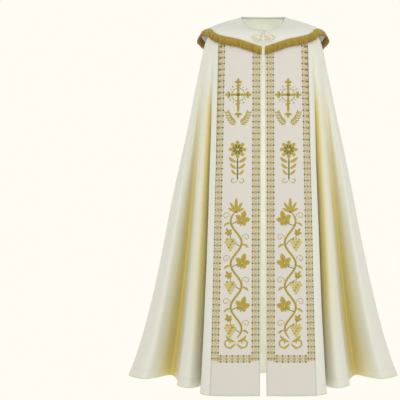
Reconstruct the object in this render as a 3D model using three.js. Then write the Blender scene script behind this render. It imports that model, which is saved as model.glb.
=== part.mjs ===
// A priest's cope: a half-circle cloak worn open down the front, with an embroidered band down each
// front edge, a hood laid flat round the shoulders and ending in a point on the back, a fringe round
// the hood's edge, and a metal clasp that joins the two fronts.
//
// Millimetres. +Z is up, the wearer faces -Y, and the origin is the middle of the neck opening, level
// with the points where the neck meets the shoulders.
import * as THREE from "three";

// ---------------------------------------------------------------- driving sizes
const CLOTH = 2; // wall of the cloak and of the hood
const BAND = 1.2; // wall of the bands that are sewn on
const SEAM = 0.4; // gap between a piece and what it is sewn to
const PANEL_GAP = 0.8; // how far a panel's edge keeps back from its seam line
const NECK = { side: 83, front: 88, back: 72, sideDrop: 5, frontDrop: 61, backRise: 7 };
const SHOULDER_SHARE = 0.3; // share of a fold line that lies above the shoulder ring
const YOKE_PULL = 0.72; // how far the shoulder's straight slope runs towards its crest
const FLARE = { share: 0.12, power: 8 }; // how late the hem kicks out
const HOOD = { atNeck: 3.2, overBand: 7, stand: 5, flarePower: 3 }; // its height off the cloak and at the neck
const FRINGE = { reach: 31, thick: 6, droop: 0.55 }; // length, wall, and how much it hangs straight down
const CLASP = {
  y: -126.4, // the middle of its back face, in front of the neck
  z: -94,
  tilt: 0.3, // radians from upright
  gap: 9, // between the two plates
  plateWidth: 42,
  plateHeight: 33,
  plate: 2.2, // thickness
  lobes: 8,
  lobeDepth: 0.2,
  eyelet: 1.9,
  wire: 1.1, // radius of the hook's wire
  ring: 4.2, // outer radius of the ring
  ringBar: 1.3,
  ringThick: 1.4,
  tongue: 13,
  tongueHalf: 1.6,
};

// A table with named columns becomes a list of rows, each with those names.
function table(columns, rows) {
  return rows.map((row) => Object.fromEntries(columns.map((name, i) => [name, row[i]])));
}

// One row for each line that a ridge or a valley follows from the neck to the hem, on the wearer's
// left half, from the front edge round to the middle of the back.
// turn: degrees round the neck from its front. sx sy sz: the line on the shoulder ring. crest: the
// height where it leaves the shoulder's slope. hx hy hz: the line at the hem. hoodZ: the height of the
// hood's edge there. flare: how far the hood's edge stands off. facets, hoodFacets: steps to the next line.
const FOLD_LINES = table(
  ["name", "turn", "sx", "sy", "sz", "crest", "hx", "hy", "hz", "hoodZ", "flare", "facets", "hoodFacets"],
  [
    ["front edge", 1.5, 7.5, -119, -150, -84, 12.5, -200, -1449, -131, 7, 3, 3],
    ["band middle", 34, 95, -128, -148, -74, 104, -206, -1449, -104, 7, 3, 3],
    ["band edge", 60, 172, -104, -144, -56, 201, -198, -1448, -86, 8, 2, 1],
    ["first nose", 64, 186, -93, -143, -53, 238, -166, -1446, -82, 10, 2, 0],
    ["first nose back", 66, 191, -88, -143, -52, 230, -88, -1441, -79, 10, 2, 0],
    ["first valley", 68, 195, -84, -143, -51, 232, 4, -1437, -77, 10, 2, 1],
    ["second ridge in", 71, 200, -79, -143, -50, 252, -66, -1436, -73, 9, 2, 0],
    ["second ridge", 74, 206, -73, -143, -49, 289, -110, -1434, -70, 10, 2, 0],
    ["second ridge out", 77, 212, -66, -142, -48, 330, -70, -1431, -67, 11, 2, 1],
    ["second valley in", 80, 219, -57, -142, -47, 338, 24, -1424, -64, 12, 2, 0],
    ["second valley", 83, 226, -47, -141, -46, 370, 112, -1418, -62, 13, 2, 1],
    ["side ridge in", 86, 228, -34, -141, -46, 418, 26, -1414, -60, 15, 2, 0],
    ["side ridge", 89, 233, -20, -140, -45, 466, -34, -1411, -61, 18, 2, 1],
    ["side", 93, 237, 8, -140, -45, 529, 34, -1408, -67, 30, 3, 1],
    ["side back", 96, 233, 44, -142, -46, 512, 132, -1410, -82, 38, 2, 1],
    ["shallow valley", 98, 226, 72, -146, -47, 438, 168, -1416, -89, 38, 2, 1],
    ["back ridge", 100, 215, 95, -152, -48, 346, 262, -1424, -98, 30, 2, 1],
    ["back ridge in", 101, 207, 106, -156, -48, 272, 236, -1428, -108, 24, 2, 0],
    ["back valley", 102, 200, 113, -159, -48, 234, 106, -1430, -118, 20, 2, 1],
    ["back panel edge", 103, 188, 122, -163, -48, 212, 226, -1432, -134, 15, 3, 2],
    ["hood band edge", 106, 107, 143, -168, -46, 112, 270, -1434, -236, 9, 2, 2],
    ["half way to the middle", 143, 54, 148.5, -169.5, -42, 56, 274.5, -1435, -298, 8.5, 2, 2],
    ["middle of the back", 180, 0, 150, -170, -40, 0, 276, -1435, -360, 8, 0, 0],
  ],
);
const YOKE_SHARES = [0, 0.25, 0.5, 0.72, 0.88];
const DROP_SHARES = [0, 0.05, 0.12, 0.22, 0.34, 0.47, 0.6, 0.73, 0.85, 0.94, 1];
const HOOD_SHARES = [0, 0.08, 0.25, 0.45, 0.65, 0.85, 1];
const FIRST_BAND_ROW = 2; // the bands start this many rows below the neckline, under the hood

// ---------------------------------------------------------------- the cloak's surface
const mix = THREE.MathUtils.lerp;
const smooth = (x) => THREE.MathUtils.smoothstep(x, 0, 1);

// The neckline at an angle from its front, on the wearer's left for a positive side.
function neckPoint(turn, side) {
  const a = THREE.MathUtils.degToRad(turn);
  const c = Math.cos(a);
  const y = c > 0 ? -NECK.front * c : -NECK.back * c;
  const rise = c > 0 ? -NECK.frontDrop * c : -NECK.backRise * c;
  return new THREE.Vector3(side * NECK.side * Math.sin(a), y, rise - NECK.sideDrop);
}

// A fold line's point: v is 0 at the neck, SHOULDER_SHARE on the shoulder ring and 1 at the hem.
function linePoint(line, side, v) {
  const shoulder = new THREE.Vector3(side * line.sx, line.sy, line.sz);
  const hem = new THREE.Vector3(side * line.hx, line.hy, line.hz);
  const straight = 1 - FLARE.share;
  if (v > SHOULDER_SHARE) {
    const t = (v - SHOULDER_SHARE) / (1 - SHOULDER_SHARE);
    const out = straight * t + FLARE.share * t ** FLARE.power;
    return new THREE.Vector3(mix(shoulder.x, hem.x, out), mix(shoulder.y, hem.y, out), mix(shoulder.z, hem.z, t));
  }
  const neck = neckPoint(line.turn, side);
  const up = ((line.crest - shoulder.z) / (hem.z - shoulder.z)) * straight;
  const crest = new THREE.Vector3(mix(shoulder.x, hem.x, up), mix(shoulder.y, hem.y, up), line.crest);
  const slope = neck.clone().lerp(crest, YOKE_PULL);
  return new THREE.CubicBezierCurve3(neck, slope, crest, shoulder).getPoint(v / SHOULDER_SHARE);
}

// Both halves' lines in order, from the wearer's right front edge round the back to the left one.
const LEFT = FOLD_LINES.map((line) => ({ line, side: 1 }));
const RIGHT = FOLD_LINES.slice(0, -1).map((line) => ({ line, side: -1 }));
const ALL_LINES = [...RIGHT, ...LEFT.reverse()];

// The cloak's middle surface: place counts the fold lines from the right front edge.
function cloakPoint(place, v) {
  const ring = ALL_LINES.map(({ line, side }) => linePoint(line, side, v));
  const curve = new THREE.CatmullRomCurve3(ring, false, "centripetal");
  return curve.getPoint(place / (ALL_LINES.length - 1));
}

// Places round the cloak, with as many steps between two lines as the named column says.
function placesBy(column) {
  const places = [0];
  for (let i = 0; i + 1 < ALL_LINES.length; i += 1) {
    const half = Math.min(i, ALL_LINES.length - 2 - i);
    const steps = FOLD_LINES[half][column];
    for (let k = 1; k <= steps; k += 1) places.push(i + k / steps);
  }
  return places;
}

// ---------------------------------------------------------------- walls from grids of points
// Outward normals of a grid of points: grid[i][j], i round the cloak and j down it.
function gridNormals(grid) {
  const at = (i, j) => grid[Math.min(Math.max(i, 0), grid.length - 1)][Math.min(Math.max(j, 0), grid[0].length - 1)];
  return grid.map((column, i) =>
    column.map((_, j) => {
      const round = at(i + 1, j).clone().sub(at(i - 1, j));
      const down = at(i, j + 1).clone().sub(at(i, j - 1));
      return round.cross(down).normalize();
    }),
  );
}

// A grid moved out along its normals.
function moved(grid, normals, distance) {
  return grid.map((column, i) => column.map((p, j) => p.clone().addScaledVector(normals[i][j], distance)));
}

// A closed wall between two grids of the same size: the outer face, the inner face and the four rims.
function wallBetween(outer, inner) {
  const columns = outer.length;
  const rows = outer[0].length;
  const positions = [outer, inner].flatMap((grid) => grid.flatMap((column) => column.flatMap((p) => p.toArray())));
  const index = [];
  const id = (layer, i, j) => layer * columns * rows + i * rows + j;
  const quad = (a, b, c, d) => index.push(a, b, c, a, c, d);
  for (let i = 0; i + 1 < columns; i += 1) {
    for (let j = 0; j + 1 < rows; j += 1) {
      quad(id(0, i, j), id(0, i + 1, j), id(0, i + 1, j + 1), id(0, i, j + 1));
      quad(id(1, i, j), id(1, i, j + 1), id(1, i + 1, j + 1), id(1, i + 1, j));
    }
    quad(id(0, i + 1, 0), id(0, i, 0), id(1, i, 0), id(1, i + 1, 0));
    quad(id(0, i, rows - 1), id(0, i + 1, rows - 1), id(1, i + 1, rows - 1), id(1, i, rows - 1));
  }
  for (let j = 0; j + 1 < rows; j += 1) {
    quad(id(0, 0, j), id(0, 0, j + 1), id(1, 0, j + 1), id(1, 0, j));
    quad(id(0, columns - 1, j + 1), id(0, columns - 1, j), id(1, columns - 1, j), id(1, columns - 1, j + 1));
  }
  const geometry = new THREE.BufferGeometry();
  geometry.setAttribute("position", new THREE.Float32BufferAttribute(positions, 3));
  geometry.setIndex(index);
  geometry.computeVertexNormals();
  return geometry;
}

// ---------------------------------------------------------------- materials
const finish = (color, roughness, metalness = 0) => new THREE.MeshStandardMaterial({ color, roughness, metalness });
const CREAM_CLOTH = finish(0xe9e6d8, 0.85);
const BAND_CLOTH = finish(0xefeae0, 0.8);
const GOLD_FRINGE = finish(0xb4912c, 0.6, 0.2);
const CLASP_METAL = finish(0xd8d6bd, 0.3, 0.9);

const cope = new THREE.Group();
function addPiece(name, geometry, material, parent = cope) {
  const mesh = new THREE.Mesh(geometry, material);
  mesh.name = name;
  parent.add(mesh);
  return mesh;
}

// ---------------------------------------------------------------- the cloak
// Two fronts reach round to the deep valley at each side of the back. The back between these valleys is
// in two halves, which meet at its middle.
const rowShares = [
  ...YOKE_SHARES.map((share) => share * SHOULDER_SHARE),
  ...DROP_SHARES.map((share) => mix(SHOULDER_SHARE, 1, share)),
];
const cloakPlaces = placesBy("facets");
const cloakGrid = cloakPlaces.map((place) => rowShares.map((v) => cloakPoint(place, v)));
const cloakNormals = gridNormals(cloakGrid);
const half = CLOTH / 2;
const lastPlace = ALL_LINES.length - 1;
const placeOf = (name) => FOLD_LINES.findIndex((line) => line.name === name);

// The part of a grid between two places, with the end columns that meet a seam pulled back from it.
function panelOf(grid, places, first, last) {
  const panel = grid.filter((_, i) => places[i] >= first && places[i] <= last);
  const pulled = (column, next) => column.map((p, j) => p.clone().add(next[j].clone().sub(p).setLength(PANEL_GAP)));
  const start = first > 0 ? pulled(panel[0], panel[1]) : panel[0];
  const end = last < lastPlace ? pulled(panel.at(-1), panel.at(-2)) : panel.at(-1);
  return [start, ...panel.slice(1, -1), end];
}

// A panel of cloth: the wall between two offsets from a grid.
function clothPanel(grid, normals, places, first, last, inside, outside) {
  const outer = panelOf(moved(grid, normals, outside), places, first, last);
  const inner = panelOf(moved(grid, normals, inside), places, first, last);
  return wallBetween(outer, inner);
}
const seamPlace = placeOf("back valley");
const midBack = lastPlace / 2;
const cloakPanel = (first, last) => clothPanel(cloakGrid, cloakNormals, cloakPlaces, first, last, -half, half);
addPiece("cloak_front_right", cloakPanel(0, seamPlace), CREAM_CLOTH);
addPiece("cloak_back_right", cloakPanel(seamPlace, midBack), CREAM_CLOTH);
addPiece("cloak_back_left", cloakPanel(midBack, lastPlace - seamPlace), CREAM_CLOTH);
addPiece("cloak_front_left", cloakPanel(lastPlace - seamPlace, lastPlace), CREAM_CLOTH);

// ---------------------------------------------------------------- the front bands
// Each lies on the cloak from the front edge to the band edge: the cloak's own points, moved out.
function frontBand(name, first, last) {
  const belowHoodNeck = (distance) =>
    moved(cloakGrid, cloakNormals, distance)
      .filter((_, i) => cloakPlaces[i] >= first && cloakPlaces[i] <= last)
      .map((column) => column.slice(FIRST_BAND_ROW));
  addPiece(name, wallBetween(belowHoodNeck(half + SEAM + BAND), belowHoodNeck(half + SEAM)), BAND_CLOTH);
}
frontBand("band_right", 0, placeOf("band edge"));
frontBand("band_left", lastPlace - placeOf("band edge"), lastPlace);

// ---------------------------------------------------------------- the hood
// The share v of a place's way down the cloak where it reaches a height.
function shareAtHeight(place, z) {
  let low = 0;
  let high = 1;
  for (let n = 0; n < 24; n += 1) {
    const middle = (low + high) / 2;
    if (cloakPoint(place, middle).z > z) low = middle;
    else high = middle;
  }
  return low;
}

// A column of FOLD_LINES at any place, straight between its lines.
function lineValue(column, place) {
  const i = Math.min(Math.floor(place), ALL_LINES.length - 2);
  return mix(ALL_LINES[i].line[column], ALL_LINES[i + 1].line[column], place - i);
}

// The hood follows the cloak's surface from the neck to its own edge, standing further off towards it.
// Its halves meet at the middle of the back, under the hood's band.
function hoodPoint(place, share) {
  const edge = shareAtHeight(place, lineValue("hoodZ", place));
  const step = 0.01;
  const v = Math.max(share * edge, step);
  const point = cloakPoint(place, share * edge);
  const round = cloakPoint(Math.min(place + step, lastPlace), v).sub(cloakPoint(Math.max(place - step, 0), v));
  const down = cloakPoint(place, v + step).sub(cloakPoint(place, v - step));
  const normal = round.cross(down).normalize();
  const resting = mix(HOOD.atNeck, HOOD.overBand, smooth(share / 0.3));
  const off = resting + (lineValue("flare", place) - HOOD.overBand) * share ** HOOD.flarePower;
  point.addScaledVector(normal, off);
  point.z += HOOD.stand * (1 - share) ** 8 * smooth(Math.abs(point.x) / NECK.side + point.y / NECK.back);
  return point;
}
const hoodPlaces = placesBy("hoodFacets");
const hoodGrid = hoodPlaces.map((place) => HOOD_SHARES.map((share) => hoodPoint(place, share)));
const hoodNormals = gridNormals(hoodGrid);
const hoodHalf = (first, last) => clothPanel(hoodGrid, hoodNormals, hoodPlaces, first, last, -half, half);
addPiece("hood_right", hoodHalf(0, midBack), CREAM_CLOTH);
addPiece("hood_left", hoodHalf(midBack, lastPlace), CREAM_CLOTH);

// The embroidered band down the middle of the hood, on its back.
const hoodBandEdge = placeOf("hood band edge");
const onHoodBand = (place) => place >= hoodBandEdge && place <= lastPlace - hoodBandEdge;
const bandOver = (distance) => moved(hoodGrid, hoodNormals, distance).filter((_, i) => onHoodBand(hoodPlaces[i]));
addPiece("hood_band", wallBetween(bandOver(half + SEAM + BAND), bandOver(half + SEAM)), BAND_CLOTH);

// ---------------------------------------------------------------- the fringe
// It hangs from the hood's edge, partly on along the hood's slope and partly straight down, in two
// lengths that meet at the point on the back.
function fringeGrid(offset) {
  return hoodGrid.map((column, i) => {
    const edge = column.at(-1);
    const normal = hoodNormals[i].at(-1);
    const slope = edge.clone().sub(column.at(-2)).normalize();
    const hang = slope.lerp(new THREE.Vector3(0, 0, -1), FRINGE.droop).normalize();
    const out = normal.clone().addScaledVector(hang, -normal.dot(hang)).normalize();
    const start = edge.clone().addScaledVector(hang, half + SEAM).addScaledVector(out, offset);
    return [0, 0.5, 1].map((row) => start.clone().addScaledVector(hang, row * FRINGE.reach));
  });
}
const fringeOuter = fringeGrid(FRINGE.thick);
const fringeInner = fringeGrid(0);
const fringeHalf = (first, last) =>
  wallBetween(panelOf(fringeOuter, hoodPlaces, first, last), panelOf(fringeInner, hoodPlaces, first, last));
addPiece("fringe_right", fringeHalf(0, midBack), GOLD_FRINGE);
addPiece("fringe_left", fringeHalf(midBack, lastPlace), GOLD_FRINGE);

// ---------------------------------------------------------------- the clasp
// Two pierced leaf plates are sewn to the hood's front ends, and a hook on the left one holds a ring
// on the right one. The clasp has its own frame: x to the wearer's left, y up along the hood, z out.
const clasp = new THREE.Group();
const claspSide = new THREE.Vector3(1, 0, 0);
const claspUp = new THREE.Vector3(0, Math.sin(CLASP.tilt), Math.cos(CLASP.tilt));
clasp.setRotationFromMatrix(new THREE.Matrix4().makeBasis(claspSide, claspUp, claspSide.clone().cross(claspUp)));
clasp.position.set(0, CLASP.y, CLASP.z);
cope.add(clasp);

// A leafy outline: an ellipse whose rim swells into lobes.
function leafOutline(width, height, lobes) {
  const points = [];
  const steps = lobes * 8;
  for (let k = 0; k < steps; k += 1) {
    const a = (k / steps) * 2 * Math.PI;
    const swell = 1 - CLASP.lobeDepth * (1 - Math.abs(Math.cos((a * lobes) / 2)));
    points.push(new THREE.Vector2((width / 2) * swell * Math.cos(a), (height / 2) * swell * Math.sin(a)));
  }
  return new THREE.Shape(points);
}

// An eyelet through a plate, as an ellipse.
function eyelet(x, y, radiusX, radiusY, turn = 0) {
  return new THREE.Path().absellipse(x, y, radiusX, radiusY, 0, 2 * Math.PI, true, turn);
}

const extruded = (shape, depth) => new THREE.ExtrudeGeometry(shape, { depth, bevelEnabled: false, curveSegments: 8 });
for (const [name, side] of [["left", 1], ["right", -1]]) {
  const plate = leafOutline(CLASP.plateWidth, CLASP.plateHeight, CLASP.lobes);
  const ring = CLASP.plateHeight * 0.3;
  for (let k = 0; k < CLASP.lobes; k += 1) {
    const a = (k / CLASP.lobes) * 2 * Math.PI;
    plate.holes.push(eyelet(1.25 * ring * Math.cos(a), ring * Math.sin(a), CLASP.eyelet, 1.4 * CLASP.eyelet, a - Math.PI / 2));
  }
  const mesh = addPiece("clasp_plate_" + name, extruded(plate, CLASP.plate), CLASP_METAL, clasp);
  mesh.position.x = side * (CLASP.gap / 2 + CLASP.plateWidth / 2);
  const dome = [[0, 0], [5.5, 0], [5.2, 1.4], [3.2, 2], [2.8, 3.2], [1.4, 4], [0, 4.2]];
  const bossShape = new THREE.LatheGeometry(dome.map(([r, h]) => new THREE.Vector2(r, h)), 16);
  const boss = addPiece("clasp_boss_" + name, bossShape, CLASP_METAL, clasp);
  boss.rotation.x = Math.PI / 2;
  boss.position.set(mesh.position.x, 0, CLASP.plate + SEAM);
}

// The ring stands on a tongue that lies on the right plate.
const tongue = new THREE.Shape();
tongue.moveTo(-CLASP.tongue, -CLASP.tongueHalf);
tongue.lineTo(-Math.sqrt(CLASP.ring ** 2 - CLASP.tongueHalf ** 2), -CLASP.tongueHalf);
const ringStart = Math.PI + Math.asin(CLASP.tongueHalf / CLASP.ring);
tongue.absarc(0, 0, CLASP.ring, ringStart, ringStart + 2 * (Math.PI - Math.asin(CLASP.tongueHalf / CLASP.ring)), false);
tongue.lineTo(-CLASP.tongue, CLASP.tongueHalf);
tongue.closePath();
tongue.holes.push(eyelet(0, 0, CLASP.ring - CLASP.ringBar, CLASP.ring - CLASP.ringBar));
const eye = addPiece("clasp_eye", extruded(tongue, CLASP.ringThick), CLASP_METAL, clasp);
eye.position.z = CLASP.plate + SEAM;

// The hook's wire runs over the ring's bar from the left plate, down through the ring and back under it.
const wireTop = CLASP.plate + SEAM + CLASP.ringThick + SEAM + CLASP.wire;
const wireLow = CLASP.plate - CLASP.wire;
const hookPath = new THREE.CatmullRomCurve3(
  [[13, wireTop], [7, wireTop], [2, wireTop], [-0.6, (wireTop + wireLow) / 2], [1.2, wireLow - 0.4], [3.4, wireLow]].map(
    ([x, z]) => new THREE.Vector3(x, 0, z),
  ),
);
const wireSection = new THREE.Shape().absarc(0, 0, CLASP.wire, 0, 2 * Math.PI);
const hookShape = new THREE.ExtrudeGeometry(wireSection, { steps: 20, extrudePath: hookPath, curveSegments: 4 });
addPiece("clasp_hook", hookShape, CLASP_METAL, clasp);

export default cope;
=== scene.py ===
"""A priest's cope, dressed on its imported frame.

The cloak's drape is worked out from one table of fold lines. Everything else lies on it: the front
bands, the hood, the hood's band, the fringe, the embroidery and the clasp. Lengths are in
millimetres where a name doesn't say otherwise, and become metres when a mesh is made. +Z is up, the
wearer faces -Y, and the origin is the middle of the neck opening.
"""

import logging
import math
from collections.abc import Callable, Iterable, Sequence
from dataclasses import dataclass, field, replace
from enum import Enum
from functools import cache

import bmesh
import bpy
import numpy as np
from mathutils import Matrix, Vector
from mathutils.bvhtree import BVHTree


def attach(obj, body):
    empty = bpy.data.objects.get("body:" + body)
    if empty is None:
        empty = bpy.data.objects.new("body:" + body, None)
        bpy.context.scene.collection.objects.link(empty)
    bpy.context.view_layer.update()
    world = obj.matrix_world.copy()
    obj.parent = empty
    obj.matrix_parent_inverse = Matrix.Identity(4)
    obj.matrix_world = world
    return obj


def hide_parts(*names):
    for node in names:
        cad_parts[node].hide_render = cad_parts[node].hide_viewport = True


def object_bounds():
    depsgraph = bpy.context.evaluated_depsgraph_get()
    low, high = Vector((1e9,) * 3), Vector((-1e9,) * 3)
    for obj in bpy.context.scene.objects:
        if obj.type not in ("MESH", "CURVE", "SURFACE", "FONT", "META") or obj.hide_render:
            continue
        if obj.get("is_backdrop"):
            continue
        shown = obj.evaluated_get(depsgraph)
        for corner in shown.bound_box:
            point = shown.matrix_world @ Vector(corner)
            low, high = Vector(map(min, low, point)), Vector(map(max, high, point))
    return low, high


log = logging.getLogger("cope")
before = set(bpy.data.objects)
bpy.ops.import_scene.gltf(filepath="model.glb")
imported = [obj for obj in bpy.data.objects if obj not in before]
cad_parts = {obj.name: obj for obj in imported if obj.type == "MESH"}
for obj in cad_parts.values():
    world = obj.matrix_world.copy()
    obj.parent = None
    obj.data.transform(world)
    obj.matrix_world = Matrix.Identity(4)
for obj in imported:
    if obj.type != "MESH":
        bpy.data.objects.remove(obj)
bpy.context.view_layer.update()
MM = 0.001
SEED = 1904
CREAM_SLOT, BAND_SLOT, GOLD_SLOT, METAL_SLOT = "cream_cloth", "band_cloth", "gold_fringe", "clasp_metal"
Flat = tuple[float, float]
Spot = tuple[float, float, float]
Rgba = tuple[float, float, float, float]


# ------------------------------------------------------------------ the drape
@dataclass(frozen=True)
class FoldLine:
    """A line that a ridge or a valley follows from the neck to the hem, on the wearer's left half.

    turn is in degrees round the neck from its front, crest is the height where the line leaves the
    shoulder's slope, hood_z is the height of the hood's edge and flare how far that edge stands off.
    """

    name: str
    turn: float
    shoulder: Spot
    crest: float
    hem: Spot
    hood_z: float
    flare: float


FOLD_LINES = (
    FoldLine("front edge", 1.5, (7.5, -119, -150), -84, (12.5, -200, -1449), -131, 7),
    FoldLine("band middle", 34, (95, -128, -148), -74, (104, -206, -1449), -104, 7),
    FoldLine("band edge", 60, (172, -104, -144), -56, (201, -198, -1448), -86, 8),
    FoldLine("first nose", 64, (186, -93, -143), -53, (238, -166, -1446), -82, 10),
    FoldLine("first nose back", 66, (191, -88, -143), -52, (230, -88, -1441), -79, 10),
    FoldLine("first valley", 68, (195, -84, -143), -51, (232, 4, -1437), -77, 10),
    FoldLine("second ridge in", 71, (200, -79, -143), -50, (252, -66, -1436), -73, 9),
    FoldLine("second ridge", 74, (206, -73, -143), -49, (289, -110, -1434), -70, 10),
    FoldLine("second ridge out", 77, (212, -66, -142), -48, (330, -70, -1431), -67, 11),
    FoldLine("second valley in", 80, (219, -57, -142), -47, (338, 24, -1424), -64, 12),
    FoldLine("second valley", 83, (226, -47, -141), -46, (370, 112, -1418), -62, 13),
    FoldLine("side ridge in", 86, (228, -34, -141), -46, (418, 26, -1414), -60, 15),
    FoldLine("side ridge", 89, (233, -20, -140), -45, (466, -34, -1411), -61, 18),
    FoldLine("side", 93, (237, 8, -140), -45, (529, 34, -1408), -67, 30),
    FoldLine("side back", 96, (233, 44, -142), -46, (512, 132, -1410), -82, 38),
    FoldLine("shallow valley", 98, (226, 72, -146), -47, (438, 168, -1416), -89, 38),
    FoldLine("back ridge", 100, (215, 95, -152), -48, (346, 262, -1424), -98, 30),
    FoldLine("back ridge in", 101, (207, 106, -156), -48, (272, 236, -1428), -108, 24),
    FoldLine("back valley", 102, (200, 113, -159), -48, (234, 106, -1430), -118, 20),
    FoldLine("back panel edge", 103, (188, 122, -163), -48, (212, 226, -1432), -134, 15),
    FoldLine("hood band edge", 106, (107, 143, -168), -46, (112, 270, -1434), -236, 9),
    FoldLine("half way to the middle", 143, (54, 148.5, -169.5), -42, (56, 274.5, -1435), -298, 8.5),
    FoldLine("middle of the back", 180, (0, 150, -170), -40, (0, 276, -1435), -360, 8),
)


@dataclass(frozen=True)
class Crease:
    """A soft trough or ridge down the cloth: places counts fold lines, shares run from neck to hem."""

    place: float
    top: float
    bottom: float
    width: float
    depth: float
    lean: float = 0.0


# The same creases would look stamped on both halves, so each half has its own.
RIGHT_CREASES = (
    Crease(9.7, 0.27, 0.95, 0.3, 6.5, 0.3),
    Crease(2.6, 0.34, 0.72, 0.22, 2.2),
    Crease(7.5, 0.32, 0.86, 0.34, -4.0, 0.3),
    Crease(8.4, 0.46, 1.05, 0.28, 3.6),
    Crease(11.5, 0.31, 0.63, 0.3, 3.6, 0.4),
    Crease(12.6, 0.33, 0.98, 0.26, 4.8, -0.3),
    Crease(13.4, 0.44, 0.83, 0.3, -5.0, 0.3),
    Crease(14.3, 0.36, 1.06, 0.28, 5.6),
    Crease(15.6, 0.5, 0.94, 0.3, -4.4, -0.2),
    Crease(16.4, 0.31, 0.58, 0.28, 3.4),
    Crease(19.35, 0.34, 0.9, 0.2, 4.4, 0.12),
    Crease(19.8, 0.5, 1.05, 0.16, -3.6),
    Crease(20.5, 0.42, 0.78, 0.2, 3.0, 0.1),
    Crease(21.4, 0.55, 1.04, 0.24, 3.4, -0.1),
)
LEFT_CREASES = (
    Crease(9.6, 0.28, 0.9, 0.28, 6.0, 0.4),
    Crease(2.55, 0.4, 0.84, 0.24, 2.0),
    Crease(7.4, 0.33, 0.74, 0.32, -3.4, 0.2),
    Crease(8.5, 0.36, 0.96, 0.28, 4.0, -0.2),
    Crease(11.6, 0.31, 0.7, 0.3, 3.2, 0.3),
    Crease(12.5, 0.4, 1.05, 0.28, 4.2, -0.4),
    Crease(13.5, 0.34, 0.72, 0.28, -4.4),
    Crease(14.4, 0.46, 1.04, 0.3, 5.2, 0.2),
    Crease(15.5, 0.38, 0.8, 0.28, -3.6),
    Crease(16.5, 0.31, 0.66, 0.3, 3.8),
    Crease(19.4, 0.4, 1.02, 0.22, 4.0, 0.1),
    Crease(20.2, 0.34, 0.68, 0.2, 2.8, -0.1),
    Crease(20.9, 0.58, 1.05, 0.22, 3.8),
)


def smooth(x: np.ndarray) -> np.ndarray:
    """An S-curve from 0 to 1 as x goes from 0 to 1."""
    x = np.clip(x, 0, 1)
    return x * x * (3 - 2 * x)


def unit(vectors: np.ndarray) -> np.ndarray:
    """The vectors along the last axis at length 1."""
    return vectors / np.maximum(np.linalg.norm(vectors, axis=-1, keepdims=True), 1e-9)


def run_along(points: np.ndarray) -> np.ndarray:
    """The distance from the first of a row of points to each of them, from point to point."""
    return np.concatenate([[0], np.cumsum(np.linalg.norm(np.diff(points, axis=0), axis=1))])


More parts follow.
